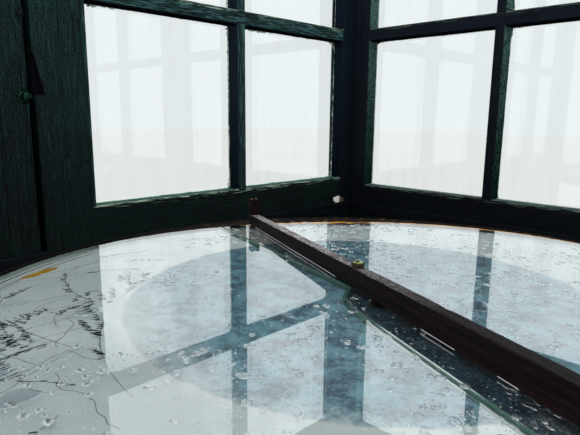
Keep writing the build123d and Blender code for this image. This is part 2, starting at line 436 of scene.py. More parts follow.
def crackMask(place):  # 1 in the open cracks
    whole = 0.0
    run = room["north"] - place.y
    wander = (cloud(place, 26, detail=3) - 0.5) * 0.004
    for crack in cracks:
        level = place.z - crack["middle"]
        bow = level * level * crack["bow"]
        away = run - (crack["run"] - bow)
        away = abs(away + wander)
        line = between(away, crack["width"], crack["width"] * 0.4)
        inside = between(abs(level), crack["half"], crack["half"] * 0.8)
        whole = larger(whole, line * inside)
    return whole


def wallDepth(side, place):  # 0 at a wall's inner face, 1 at the glass
    start = room[side]
    reach = sashSizes["glassDepth"]
    if side == "west":
        return between(place.x, start, start - reach)
    return between(place.y, start, start + reach)


def sashFinish(side, place, colour, fibre, settings):  # faces across the wall, ledges, worn edge; painted shade on west jambs, undersides and towards the sill, and a painted glow on ledges by the glass
    normal = objectNormal()
    flat = abs(normal.part("X" if side == "west" else "Y"))
    aside = abs(normal.part("Y" if side == "west" else "X"))
    upward = normal.z
    fine = cloud(place, 260, detail=4, rough=0.75)
    muntins = betweenStiles(side, place) * between(flat, 0.6, 0.9)
    streak = muntins * between(fibre, 0.50, 0.60)
    # painted light and shade by the way a face is turned: west jambs take a greyer, bluer tone,
    # undersides go near black, and jambs and undersides lose their shine
    jamb = between(aside, 0.5, 0.8)
    under = between(upward, -0.5, -0.8)
    if side == "west":
        foot = room["sashFoot"] + windows[side]["bottomRail"]
        streak = streak * between(place.z, foot - 0.001, foot + 0.001)
        colour = blend(streak, colour, settings["streak"])
        colour = blend(jamb * 0.85, colour, settings["reveal"])
        # painted shade: the corner stile is darkened towards the shaded paint
        corner = between(place.y, room["north"] - 0.052, room["north"] - 0.049)
        colour = blend(corner * 0.8, colour, shadePaint["colour"])
    else:
        green, pale = settings["jamb"]
        high = between(place.z, room["sashFoot"], room["sashHead"] - 0.3)
        spots = cloud(stretched(place, (1, 1, 0.6)), 250, detail=4, rough=0.8)
        spots = spots + high * 0.14
        speckled = blend(between(spots, 0.55, 0.64), green, pale)
        colour = blend(jamb, colour, speckled)
    colour = lowShadeTone(place, blend(under, colour, settings["under"]))
    # upward faces take the ledge tones: nearest the glass a painted glow of light from behind it,
    # towards the room pale worn streaks
    dark, glassGlow, worn = settings["ledge"]
    depth = wallDepth(side, place)
    inner = between(depth, 0.62, 0.76) * between(fine, 0.36, 0.50)
    front = between(depth, 0.34, 0.24) * between(fibre, 0.50, 0.58)
    ledge = blend(inner, dark, glassGlow)
    ledge = blend(front, ledge, worn)
    colour = blend(between(upward, 0.45, 0.6), colour, ledge)
    rubbed = arrisMask(side, place) * between(flat, 0.6, 0.9)
    share = 0.9 if side == "west" else 0.3
    streaks = rubbed * share * between(fibre, 0.56, 0.62)
    if side == "west":
        colour = blend(crackMask(place), colour, settings["gap"])
    return blend(streaks, colour, settings["line"]), larger(jamb, under)


def paintedTimber(name, direction, side=None, wear=0.5, fade=0.0, settings=None, darkens=False):
    settings = settings or greenPaint
    material = newMaterial(name)
    place = objectPlace()
    fibre, check = grainPattern(direction, place)
    if side:
        across = "y" if side == "west" else "x"
        mask = railMask(side, place)
        level, levelCheck = grainPattern(across, place)
        fibre = blend(mask, fibre, level)
        check = blend(mask, check, levelCheck)
    broad = cloud(place, 4.5, detail=5, rough=0.6)
    mottle = cloud(place, 230, detail=3, rough=0.7)
    tone = between(broad * 0.6 + fibre * 0.4, 0.42, 0.60)
    colour = blend(tone, settings["deep"], settings["colour"])
    lift = between(fibre, 0.54, 0.72) * (0.75 + fade)
    colour = blend(lift, colour, settings["faded"])
    speck = between(mottle, 0.50, 0.62) * 0.32
    colour = blend(speck, colour, settings["faded"])
    pits = between(mottle, 0.48, 0.40) * 0.5
    colour = blend(pits, colour, settings["gap"])
    colour = blend(check, colour, settings["gap"])
    edge = wornEdges(0.0025)
    rub = edge * between(cloud(place, 34, detail=5, rough=0.7), 0.62 - 0.2 * wear, 0.75)
    rub = rub * wear
    shine = 0.08
    if side:
        # jambs and undersides, painted in shade, lose their shine
        colour, shadedFaces = sashFinish(side, place, colour, fibre, settings)
        shine = (1.0 - shadedFaces) * shine
    elif darkens:
        # painted shade towards the sill
        colour = lowShadeTone(place, colour)
    colour = blend(rub, colour, settings["wood"])
    fill({"Base Color": colour, "Specular IOR Level": shine})
    low, high = settings["roughness"]
    fill({"Roughness": mottle * (high - low) + low})
    height = fibre - check * 1.6
    fill({"Normal": relief(height, 0.0012, 0.9)})
    return material


# Bare and varnished woods
def bareTimber(
    name, direction, dark, pale, ring=18, rough=0.7, depth=0.0006, shine=0.5, boards=None
):
    material = newMaterial(name)
    place = objectPlace()
    fibre, check = grainPattern(direction, place)
    along = grainPlace(direction, place)
    bands = cloud(along, ring, detail=4, rough=0.6, warp=1.2)
    tone = between(bands * 0.65 + fibre * 0.35, 0.36, 0.66)
    colour = blend(tone, dark, pale)
    colour = blend(check, colour, [channel * 0.35 for channel in dark])
    if boards:  # each board has a tone of its own
        low, high = (corner[0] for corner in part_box("floor_deck"))
        board = calculate("FLOOR", (place.x - low) / ((high - low) / boards))
        tone = signal("TexWhiteNoise", {"W": board}, out="Value", noise_dimensions="1D")
        colour = blend(1.0, colour, tone * 0.35 + 0.65, mode="MULTIPLY")
    fill({
        "Base Color": colour,
        "Specular IOR Level": shine,
        "Roughness": fibre * 0.2 + (rough - 0.1),
    })
    height = fibre - check * 1.4
    fill({"Normal": relief(height, depth, 0.6)})
    return material


# The floor: how many boards and cross joists, and the boards' gaps and eased edges
deck = {"boards": 17, "gap": 0.003, "edge": 0.002, "joists": 7}


# Glass. Mirrors: how much square on at 0, and along its face at 1
paneLook = {
    "mirrors": ((0.0, 0.07), (0.45, 0.14), (0.75, 0.45), (1.0, 1.0)),
    "tint": (250, 252, 251),
    "edge": (120, 170, 150),
    "edgeShare": 0.7,
    "haze": 0.05,
}
coverLook = {
    "mirrors": ((0.0, 0.08), (0.28, 0.16), (0.50, 0.40), (0.66, 0.46), (0.76, 0.52), (1.0, 1.0)),
    "tint": (249, 252, 253),
    "edge": (150, 190, 178),
    "edgeShare": 0.5,
    "wet": 1.6,
    "hole": 0.03,  # round the pivot, where its rim doesn't show
    "outerEdge": 0.5,
    "dust": (206, 214, 202),
    "ground": ((84, 120, 108), (226, 240, 234)),
    "highlightRun": (-0.05, -0.07, -0.22, -0.19),  # along the bar from the pivot, where the bevel's painted highlight lies
}
dullPatch = (-0.03, -0.40, 0.20)  # place from the pivot, and reach


def dullMask(place):  # 1 where the film of rain is thickest
    x, y, reach = dullPatch
    away = flatFrom(place, pivot.x + x, pivot.y + y)
    away = vectorMath("LENGTH", away)
    away = away + (cloud(place, 26, detail=4) - 0.5) * 0.12
    return between(away, reach, reach - 0.08)


def clearGlass(look):  # a thin sheet that lamps shine through: its face and its rim
    place = objectPlace()
    wave = cloud(place, 5, detail=1)
    wet = look.get("wet")
    if wet:  # a film of rain that lies in patches and bends what it mirrors
        patch = between(cloud(place, 7, detail=4, rough=0.6, warp=0.8), 0.50, 0.56)
        patch = larger(patch, dullMask(place) * 0.9)
        wave = wave + patch * (cloud(place, 60, detail=2) * wet)
    bent = relief(wave, 0.0001, 0.05)
    mirror = signal("BsdfGlossy", {"Color": 1, "Roughness": 0.015, "Normal": bent})
    through = signal("BsdfTransparent", {"Color": look["tint"]})
    facing = signal("LayerWeight", {"Blend": 0.5}, out="Facing")
    share = ramp(facing, look["mirrors"]) * (1.0 - signal("NewGeometry", out="Backfacing"))
    if wet:  # it mirrors less where the film is thickest
        share = share * (1.0 - dullMask(place) * 0.45)
    face = mixShaders(share, through, mirror)
    if "haze" in look:
        dust = signal("BsdfDiffuse", {"Color": (0.8, 0.82, 0.8, 1)})
        smear = cloud(stretched(place, (1, 1, 0.12)), 22, detail=4)
        face = mixShaders(between(smear, 0.48, 0.8) * look["haze"], face, dust)
    fill({"Base Color": look["edge"], "Roughness": 0.12})
    green = signal("BsdfTransparent", {"Color": look["edge"]})
    return face, mixShaders(look["edgeShare"], green, Signal(bench["shader"].outputs[0]))


def sheetGlass(name, flatAxis, look):
    material = newMaterial(name)
    face, rim = clearGlass(look)
    place = objectPlace()
    facing = abs(objectNormal().part(flatAxis))
    side = below(facing, 0.5)
    if "wet" not in look:
        showSurface(mixShaders(side, face, rim))
        return material
    centred = flatFrom(place, pivot.x, pivot.y)
    away = vectorMath("LENGTH", centred)
    pastHole = above(away, look["hole"])
    outer = above(away, look["outerEdge"])
    dusty = signal("BsdfDiffuse", {"Color": look["dust"]})
    lines = between(calculate("FRACT", place.z * 400), 0.35, 0.5)
    rim = mixShaders(outer * lines * 0.8, rim, dusty)
    both = mixShaders(side * pastHole, face, rim)
    # the ground bevel between the face and the rim: a rough mirror whose tint is made pale along
    # one run of the cut as a painted highlight, and paler at the outer edge
    run = rotated(centred, -barTurn).x + cloud(place, 40, detail=3) * 0.02
    start, full, end, last = look["highlightRun"]
    patch = larger(between(run, start, full) * between(run, end, last), outer * 0.55)
    ground = blend(patch, *look["ground"])
    ground = signal("BsdfGlossy", {"Color": ground, "Roughness": 0.55})
    bevel = above(facing, 0.30) * below(facing, 0.97) * pastHole
    showSurface(mixShaders(bevel, both, ground))
    return material


def mottled(name, tones, patch, run, values):  # two tones in patches; patch: cloud's own values
    material = newMaterial(name)
    amount = cloud(objectPlace(), **patch)
    fill({"Base Color": blend(between(amount, *run), *tones), **values})
    return material


def metal(name, colour, tarnish, rough=0.35):
    material = newMaterial(name)
    place = objectPlace()
    spots = between(cloud(place, 190, detail=5, rough=0.7), 0.42, 0.66)
    fill({
        "Base Color": blend(spots, tarnish, colour),
        "Metallic": 1,
        "Roughness": spots * (-0.2) + (rough + 0.2),
        "Normal": relief(spots, 0.0002, 0.4),
    })
    return material


def water(name, bends, mirrors):  # bends: how much refracts, the rest lets light through
    material = newMaterial(name)
    tint = (0.97, 0.99, 1, 1)
    fill({"Base Color": tint, "Roughness": 0.0, "IOR": 1.33, "Transmission Weight": 1})
    through = signal("BsdfTransparent", {"Color": tint})
    glint = signal("BsdfGlossy", {"Color": 1, "Roughness": 0.07})
    facing = signal("LayerWeight", {"Blend": 0.5}, out="Facing")
    share = facing ** 2.0 * mirrors + mirrors * 0.5
    share = share * (1.0 - signal("NewGeometry", out="Backfacing"))
    clear = mixShaders(share, through, glint)
    showSurface(mixShaders(bends, clear, Signal(bench["shader"].outputs[0])))
    return material


# The map under the glass: a ring of pale ground round a mottled blue-green disc
mapLook = {
    "innerPlace": (-0.2320, 0.0560),
    "innerRadius": 0.3000,
    "ringWidth": 0.004,
    "ringFade": 0.008,
    "ground": (250, 253, 250),
    "groundStain": (236, 242, 240),
    "nearShade": 0.88,  # painted shade: the sheet is darker towards the room
    "paintedVeil": 0.08,  # and its disc is painted paler away from the corner, a painted veil of scattered light
    "washed": 0.6,
    "soaked": 0.74,  # and all of it darker under the thickest film
    "inner": (112, 164, 178),
    "innerDeep": (38, 86, 108),
    "innerPale": (190, 208, 208),
    "ring": (234, 235, 230),
    "line": (96, 104, 96),
    "rims": ((0.4965, 0.9, 0.0016), (0.503, 0.6, 0.0012), (0.5115, 1.0, 0.0024)),
    "barShadow": (84, 100, 110),  # painted shadow of the bar: the map is darkened beside the glass's cut
    "barShadowFar": (156, 154, 150),
    "cutEnd": 0.55,  # the cut in the glass: place along the bar, and to its left
    "cut": ((-0.55, 0.048), (-0.017, 0.044), (0.028, 0.035), (0.0594, 0.0094), (0.55, 0.0783)),
    "varnish": (214, 162, 38),
    "stainPlace": (-0.6145, -0.2132),
    "stainTurn": 111.7,
    "stainLong": 0.033,
    "stainWide": 0.0072,
}


def barShadowMask(centred):  # 1 on the strip between the glass's cut and the bar's line, where the bar's shadow is painted
    local = rotated(centred, -barTurn)
    run, across = local.x, local.y
    end, most = mapLook["cutEnd"], 0.1
    stops = [((along + end) / (2 * end), out / most) for along, out in mapLook["cut"]]
    limit = ramp(between(run, -end, end), stops) * most
    ragged = (cloud(centred, 60, detail=5, rough=0.7) - 0.5) * 0.006
    inside = between(limit - across, -0.0005, 0.0010)
    return inside * between(across + ragged, -0.034, -0.026)


def mapPaper():
    material = newMaterial("mapPaper")
    place = objectPlace()
    centred = flatFrom(place, pivot.x, pivot.y)
    radius = vectorMath("LENGTH", centred)
    wave = (cloud(place, 24, detail=3) - 0.5) * 0.010
    x, y = mapLook["innerPlace"]
    inset = vectorMath("LENGTH", flatFrom(place, x, y))
    wavy = inset + wave
    fleck = cloud(place, 290, detail=4, rough=0.75)
    patch = cloud(place, 34, detail=5, rough=0.7)
    inner = blend(between(patch, 0.42, 0.56), mapLook["innerDeep"], mapLook["inner"])
    inner = blend(between(fleck, 0.47, 0.60) * 0.38, inner, mapLook["innerPale"])
    east, north = centred.x, centred.y
    # painted light: a pale veil of scattered light is added to the disc, more away from the corner
    paintedVeil = between(east, -0.14, 0.07) * mapLook["paintedVeil"] + 0.03
    inner = blend(paintedVeil, inner, 1, mode="ADD")
    uneven = (patch - 0.5) * 0.10
    near = east * 0.4 - north * 0.8
    side = east * (-0.3) - north
    washed = between(near + uneven, 0.215, 0.245)
    washed = larger(washed, between(side + uneven, 0.225, 0.285))
    washed = washed * mapLook["washed"]
    inner = blend(washed, inner, mapLook["ring"])
    stain = cloud(place, 8, detail=5, rough=0.6)
    ground = blend(between(stain, 0.4, 0.66), mapLook["groundStain"], mapLook["ground"])
    fibres = between(cloud(place, 420, detail=3), 0.4, 0.7) * 0.18
    ground = blend(fibres, ground, mapLook["ring"])
    # painted shade: the sheet is darkened towards the room side
    corner = north - east
    near = between(corner + stain * 0.2, 0.62, 0.22)
    ground = blend(near, ground, mapLook["nearShade"], mode="MULTIPLY")
    edge = mapLook["innerRadius"]
    colour = blend(between(wavy, edge - 0.002, edge + 0.002), inner, mapLook["ring"])
    past = edge + mapLook["ringWidth"]
    colour = blend(between(wavy, past, past + mapLook["ringFade"]), colour, ground)
    colour = blend(dullMask(place), colour, mapLook["soaked"], mode="MULTIPLY")
    for line, shade, width in mapLook["rims"]:
        away = abs(radius - line)
        drawn = between(away, width, width * 0.5) * shade
        colour = blend(drawn, colour, mapLook["line"])
    pits = between(cloud(place, 260, detail=4, rough=0.8), 0.52, 0.60)
    # painted shadow of the bar on the map, paler towards the far end
    barShadow = barShadowMask(centred) * (1.0 - pits * 0.34)
    run = rotated(centred, -barTurn).x
    shade = blend(between(run, 0.13, 0.36), mapLook["barShadow"], mapLook["barShadowFar"])
    colour = blend(barShadow, colour, shade, mode="MULTIPLY")
    x, y = mapLook["stainPlace"]
    spot = flatFrom(place, x, y)
    spot = rotated(spot, -math.radians(mapLook["stainTurn"]))
    spot = stretched(spot, (1 / mapLook["stainLong"], 1 / mapLook["stainWide"], 1))
    long, wide = spot.x, spot.y
    away = abs(long) ** 3.0 + wide * wide
    away = away + (cloud(place, 90, detail=4) - 0.5) * 1.3
    colour = blend(between(away, 1.05, 0.92), colour, mapLook["varnish"])
    fill({
        "Base Color": colour,
        "Roughness": 0.5,
        "Specular IOR Level": 0.2,
        "Normal": relief(stain, 0.0004, 0.15),
    })
    return material


# The hoop: almost black wood, with bare brown and orange in its knocks towards the corner, and
# painted plain dark as shade on the side away from it
hoopLook = {
    "dark": (12, 9, 10),
    "brown": (60, 40, 28),
    "pale": (150, 126, 94),
    "orange": (166, 104, 34),
    "shadeSide": 213,  # degrees round the pivot where it is painted dark as shade
}


def hoopOutOfShade(place):  # 0 on the side painted dark as shade, 1 on the rest
    away = flatFrom(place, pivot.x, pivot.y)
    away = vectorMath("NORMALIZE", away, out="Vector")
    turn = math.radians(hoopLook["shadeSide"])
    shade = (math.cos(turn), math.sin(turn), 0)
    alike = vectorMath("DOT_PRODUCT", away, shade)
    return between(alike, 0.85, 0.60)


def hoopWood(name, crust=False):
    material = newMaterial(name)
    place = objectPlace()
    outOfShade = hoopOutOfShade(place)
    blotch = cloud(place, 70, detail=6, rough=0.75, warp=0.6)
    knock = cloud(place, 210, detail=5, rough=0.8)
    brown = between(blotch, 0.54, 0.62)
    colour = blend(brown, hoopLook["dark"], hoopLook["brown"])
    pale = between(knock, 0.58, 0.63) * between(blotch, 0.46, 0.54)
    colour = blend(pale * 0.8, colour, hoopLook["pale"])
    orange = between(cloud(place, 150, detail=4, rough=0.7), 0.55, 0.62) * brown
    colour = blend(orange * 0.8, colour, hoopLook["orange"])
    # painted shade: the hoop keeps only its dark tone on its shaded side
    colour = blend(outOfShade, hoopLook["dark"], colour)
    fill({
        "Base Color": colour,
        "Roughness": 0.75,
        "Specular IOR Level": 0.03,
        "Normal": relief(knock + blotch, 0.0016 if crust else 0.0010, 0.8),
    })
    return material


# The sighting bar: weathered grey on top, dark brown on its sides, rubbed pale along its edges
barLook = {
    "topFar": (198, 194, 196),
    "topNear": (34, 31, 34),
    "topLine": (24, 19, 19),
    "topBrown": (104, 76, 60),
    "side": (18, 11, 15),
    "sideRed": (40, 21, 18),
    "line": (5, 4, 7),
    "edge": (140, 130, 124),
    "footGlint": (246, 246, 252),
    "footGlintRuns": ((0.10, 0.45), (-0.152, -0.098), (-0.232, -0.208)),  # runs of a painted glint of sky under the bar's foot, from the pivot along the bar
}


def barWood():
    material = newMaterial("barWood")
    place = objectPlace()
    centred = stretched(place, (1, 1, 1), shift=(-pivot.x, -pivot.y, 0))
    local = rotated(centred, -barTurn)
    along = stretched(local, (0.04, 1, 1))
    fibre = cloud(along, 620, detail=5, rough=0.65, warp=0.5)
    lines = between(cloud(along, 210, detail=3, rough=0.5, warp=0.3), 0.42, 0.60)
    speckle = cloud(stretched(local, (0.5, 1, 1)), 330, detail=4, rough=0.8)
    run = local.x
    # the top goes from near black at the room end to pale grey further along, and darker again
    # towards the far end
    far = between(run, -0.12, 0.26)
    far = far - between(run, 0.34, 0.46) * 0.45
    top = blend(far, barLook["topNear"], barLook["topFar"])
    rust = between(cloud(stretched(local, (0.3, 1, 1)), 130, detail=4), 0.5, 0.62) * far
    top = blend(rust * 0.6, top, barLook["topBrown"])
    grain = speckle * 0.75 + fibre * 0.25
    top = blend(between(grain, 0.45, 0.53), barLook["topLine"], top)
    side = blend(lines, barLook["line"], barLook["side"])
    red = between(cloud(along, 120, detail=4, rough=0.6, warp=0.4), 0.48, 0.62)
    red = red * (between(run, -0.05, -0.4) * 0.7 + 0.3)
    side = blend(red, side, barLook["sideRed"])
    normal = objectNormal()
    upward = between(normal.z, 0.55, 0.8)
    colour = blend(upward, side, top)
    rub = wornEdges(0.0016) * between(speckle, 0.4, 0.6)
    colour = blend(rub * 0.8, colour, barLook["edge"])
    # painted reflection: a thin near-white line low on the bar's sides, where sky would show under
    # it
    level = local.z - room["glassTop"]
    foot = between(level, 0.0034, 0.0030) * between(level, 0.0019, 0.0023)
    bare = 0.0
    for start, end in barLook["footGlintRuns"]:
        inside = above(run, start) * below(run, end)
        bare = larger(bare, inside)
    colour = blend(foot * bare, colour, barLook["footGlint"])
    fill({"Base Color": colour, "Specular IOR Level": 0.07, "Roughness": fibre * 0.25 + 0.5})
    height = fibre + lines * 0.8
    fill({"Normal": relief(height, 0.0007, 0.8)})
    return material


# Dark and pale tone of each bare wood, clean and tarnished tone of each metal
standTones = ((58, 38, 26), (104, 72, 46))
joistTones = ((74, 64, 54), (122, 110, 96))
boardTones = ((92, 84, 74), (140, 130, 116))
studTones = ((128, 98, 64), (182, 150, 108))
soleTones = ((120, 92, 62), (170, 140, 100))
tableTones = ((70, 50, 36), (112, 84, 58))
sightTones = ((13, 6, 8), (25, 10, 10))
brassTones = ((120, 104, 58), (38, 30, 20))
pinTones = ((48, 40, 30), (22, 18, 15))
boards = deck["boards"]
materials = {
    "cover": sheetGlass("coverGlass", "Z", coverLook),
    "post": paintedTimber("postPaint", "up", wear=0.4, darkens=True),
    # painted shade: the corner post takes the shaded copy of the paint
    "cornerPost": paintedTimber("cornerPaintInShade", "up", wear=0.3, settings=shadePaint, darkens=True),
    "lining": paintedTimber("liningPaint", "up", wear=0.3, darkens=True),
    "casing": paintedTimber("casingPaint", "up", wear=0.7, fade=0.3),
    "stud": bareTimber("studWood", "up", *studTones),
    "joist": bareTimber("joistWood", "x", *joistTones, depth=0.001),
    "outerJoist": bareTimber("outerJoistWood", "y", *joistTones, depth=0.001),
    "deck": bareTimber("deckWood", "y", *boardTones, ring=12, depth=0.001, boards=boards),
    "stand": bareTimber("standWood", "up", *standTones, rough=0.45),
    "standX": bareTimber("standWoodLevel", "x", *standTones, rough=0.45),
    "top": bareTimber("topWood", "x", *tableTones),
    "hoop": hoopWood("hoopWood"),
    "crust": hoopWood("edgeCrust", crust=True),
    "map": mapPaper(),
    "bar": barWood(),
    "sight": bareTimber("sightWood", "up", *sightTones, shine=0.04),
    "brass": metal("brass", *brassTones),
    "pin": metal("darkPin", *pinTones, 0.6),
    "water": water("rainWater", 0.5, 0.7),
    "film": water("rainFilm", 0.0, 0.30),
}
nodeMaterials = {
    "outer_joists": "outerJoist", "cross_joists": "joist", "floor_deck": "deck",
    "corner_post": "cornerPost", "table_feet": "standX", "table_column": "stand",
    "table_bearers": "standX", "table_top": "top", "map_sheet": "map", "table_hoop": "hoop",
    "cover_glass_left": "cover", "cover_glass_right": "cover", "pivot_pin": "pin",
    "front_sight": "sight", "rear_sight": "sight", "round_level": "brass", "sighting_bar": "bar",
}


def dressWall(side, grain, settings):
    wall = side.title()
    # the sills take the painted-shade paint and the painted shade towards the sill
    shaded = {"settings": shadePaint, "darkens": True}
    made = {
        "pane": sheetGlass("windowGlass" + wall, "X" if side == "west" else "Y", paneLook),
        "sash": paintedTimber("sashPaint" + wall, "up", side=side, wear=0.6, settings=settings),
        "plate": paintedTimber("platePaint" + wall, grain, wear=0.3),
        "siding": paintedTimber("sidingPaint" + wall, grain, wear=0.8, fade=0.35),
        "sill": paintedTimber("sillPaint" + wall, grain, wear=0.9, **shaded),
        "sole": bareTimber("soleWood" + wall, grain, *soleTones),
    }
    materials.update({f"{key}_{side}": material for key, material in made.items()})
    keys = {"mid_post": "post", "end_post": "post", "studs": "stud", "lining": "lining"}
    keys.update({"stops": "casing", "casing": "casing", "siding": f"siding_{side}"})
    keys.update({"top_plate": f"plate_{side}", "soles": f"sole_{side}", "sills": f"sill_{side}"})
    for number in (1, 2):
        keys.update({f"sash_{number}": f"sash_{side}", f"panes_{number}": f"pane_{side}"})
    nodeMaterials.update({f"{side}_{name}": key for name, key in keys.items()})


dressWall("west", "y", greenPaint)
dressWall("north", "x", shadePaint)
for name, key in nodeMaterials.items():
    nodes[name].data.materials[0] = materials[key]
print("materials made, nodes dressed:", len(bpy.data.materials), len(nodeMaterials))


# Modelling helpers
selectAll = (bpy.ops.mesh.select_all, {"action": "SELECT"})
outward = (bpy.ops.mesh.normals_make_consistent, {"inside": False})


def waver(x, y, z):  # smooth noise from -1 to 1
    return noise.noise(Vector((x, y, z)))


def clearSelection():
    bpy.ops.object.select_all(action="DESELECT")


def choose(piece):
    clearSelection()
    piece.select_set(True)
    bpy.context.view_layer.objects.active = piece


def settle(piece):  # place, turn and size go into the mesh
    choose(piece)
    bpy.ops.object.transform_apply(location=True, rotation=True, scale=True)


def shape(piece, kind, **values):  # one modifier, applied
    choose(piece)
    modifier = piece.modifiers.new(name="shape", type=kind)
    for key, value in values.items():
        setattr(modifier, key, value)
    bpy.ops.object.modifier_apply(modifier=modifier.name)


def editing(piece, *steps):  # each step is an operator and its values
    choose(piece)
    bpy.ops.object.mode_set(mode="EDIT")
    for operator, values in steps:
        operator(**values)
    bpy.ops.object.mode_set(mode="OBJECT")


def pick(piece, kind, test):  # selects faces, edges or vertices by their place
    choose(piece)
    bpy.ops.object.mode_set(mode="EDIT")
    bpy.ops.mesh.select_mode(type=kind)
    bpy.ops.mesh.select_all(action="DESELECT")
    bpy.ops.object.mode_set(mode="OBJECT")
    mesh = piece.data
    if kind == "FACE":
        for face in mesh.polygons:
            face.select = test(face)
    elif kind == "EDGE":
        for edge in mesh.edges:
            a, b = (mesh.vertices[i].co for i in edge.vertices)
            edge.select = test(a, b)
    else:
        for vertex in mesh.vertices:
            vertex.select = test(vertex.co)


def rounded(piece, width, segments=2):
    limit = math.radians(35)
    shape(piece, "BEVEL", width=width, segments=segments, limit_method="ANGLE", angle_limit=limit)


def smooth(piece, angle=35):
    choose(piece)
    bpy.ops.object.shade_smooth_by_angle(angle=math.radians(angle))


def evenShading(piece):  # a broad face keeps its own normal beside a narrow bevel
    shape(piece, "WEIGHTED_NORMAL", weight=100, keep_sharp=True)


def join(pieces, name):
    clearSelection()
    for piece in pieces:
        piece.select_set(True)
    bpy.context.view_layer.objects.active = pieces[0]
    if len(pieces) > 1:
        bpy.ops.object.join()
    pieces[0].name = name
    return pieces[0]


def finishPiece(piece, material, body="cab", instead=()):
    piece.data.materials.clear()
    piece.data.materials.append(material)
    settle(piece)
    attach(piece, body)
    if instead:
        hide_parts(*instead)
    return piece


def primitive(operator, name, **values):  # a new object, alone in the selection
    clearSelection()
    operator(**values)
    piece = bpy.context.object
    piece.name = name
    return piece


def cuboid(low, high, name="board"):  # a box between two corners, place in its mesh
    middle = [(a + b) / 2 for a, b in zip(low, high)]
    piece = primitive(bpy.ops.mesh.primitive_cube_add, name, size=1, location=middle)
    piece.scale = [abs(b - a) for a, b in zip(low, high)]
    settle(piece)
    return piece


def polar(radius, angle):
    return radius * math.cos(angle), radius * math.sin(angle)


def spinRound(steps, centre, axis):  # one step of editing: a full turn
    values = {"steps": steps, "angle": 2 * math.pi, "center": tuple(centre), "axis": axis}
    return (bpy.ops.mesh.spin, values)


def cylinder(sides, radius, tall, place=(0, 0, 0), name="round"):  # place: middle of its foot
    middle = Vector(place) + Vector((0, 0, tall / 2))
    values = {"vertices": sides, "radius": radius, "depth": tall, "location": middle}
    piece = primitive(bpy.ops.mesh.primitive_cylinder_add, name, **values)
    settle(piece)
    return piece


def standing(place, angle=0.0, axis="Z"):  # a place for a model, turned about an axis
    return Matrix.Translation(place) @ Matrix.Rotation(angle, 4, axis)


def repeated(model, places, name):  # one joined mesh of the model at each place
    points = [vertex.co.copy() for vertex in model.data.vertices]
    faces = [list(face.vertices) for face in model.data.polygons]
    allPoints, allFaces = [], []
    for place in places:
        start = len(allPoints)
        allPoints += [place @ point for point in points]
        allFaces += [[start + i for i in face] for face in faces]
    mesh = bpy.data.meshes.new(name)
    mesh.from_pydata(allPoints, [], allFaces)
    mesh.update()
    piece = bpy.data.objects.new(name, mesh)
    bpy.context.scene.collection.objects.link(piece)
    bpy.data.objects.remove(model)
    return piece


def mergedCopy(nodeName, name):  # the node's own mesh with its triangles joined up
    piece = bpy.data.objects.new(name, nodes[nodeName].data.copy())
    bpy.context.scene.collection.objects.link(piece)
    editing(
        piece,
        selectAll,
        (bpy.ops.mesh.remove_doubles, {"threshold": 0.00002}),
        (bpy.ops.mesh.dissolve_limited, {"angle_limit": math.radians(1)}),
    )
    return piece


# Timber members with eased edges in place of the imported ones
easedTimber = {
    "corner_post": 0.0025, "west_end_post": 0.0025, "north_mid_post": 0.0025,
    "north_end_post": 0.0025, "west_top_plate": 0.003, "north_top_plate": 0.003,
    "west_sills": 0.003, "north_sills": 0.003, "west_sash_1": 0.0012, "west_sash_2": 0.0012,
    "north_sash_1": 0.0012, "north_sash_2": 0.0012, "table_feet": 0.004, "table_column": 0.004,
    "table_bearers": 0.004, "outer_joists": 0.003, "cross_joists": 0.003,
}


def easeTimber():
    for name, width in easedTimber.items():
        piece = mergedCopy(name, name + "_timber")
        rounded(piece, width)
        smooth(piece)
        evenShading(piece)
        material = materials[nodeMaterials[name]]
        finishPiece(piece, material, instead=(name,))


# The mid post of the west wall has lost a long splinter beside the second sash; the bared wood is
# painted near black as shade in the hollow
splinter = {
    "top": 1.4930,
    "foot": 1.3880,
    "edge": 1.1155,
    "reach": 1.0946,
    "depth": 0.014,
    "ease": 0.0018,
    "dark": (12, 9, 16),
    "pale": (25, 19, 28),
}


def inSplinter(face):  # faces of the post that the splinter has laid bare
    margin = 0.001
    sideways = abs(face.normal.x) < 0.98 or face.center.x < room["west"] - 0.004
    level = splinter["foot"] - margin < face.center.z < splinter["top"] + margin
    run = room["north"] - face.center.y > splinter["reach"] - margin
    return sideways and level and run and face.center.x > room["west"] - splinter["depth"] - margin


def chippedPost():
    post = mergedCopy("west_mid_post", "west_mid_post_timber")
    edge = splinter["edge"] + 0.002
    corners = [(edge, splinter["top"]), (edge, splinter["foot"])]
    corners.append((splinter["reach"], splinter["foot"] + 0.001))
    cutter = cylinder(3, 0.02, 0.03)
    for vertex in cutter.data.vertices:
        run, height = corners[vertex.index // 2]
        depth = -0.002 if vertex.index % 2 else splinter["depth"]
        vertex.co = onWall("west", run, depth, height)
    editing(cutter, selectAll, outward)
    shape(post, "BOOLEAN", operation="DIFFERENCE", object=cutter, solver="EXACT")
    bpy.data.objects.remove(cutter)
    rounded(post, splinter["ease"])
    smooth(post)
    evenShading(post)
    finishPiece(post, materials["post"], instead=("west_mid_post",))
    # painted shade: the bared wood in the hollow is near black
    bare = bareTimber("splinterWoodInShade", "up", splinter["dark"], splinter["pale"], shine=0.0)
    post.data.materials.append(bare)
    for face in post.data.polygons:
        if inSplinter(face):
            face.material_index = 1


easeTimber()
chippedPost()
print("timber eased")


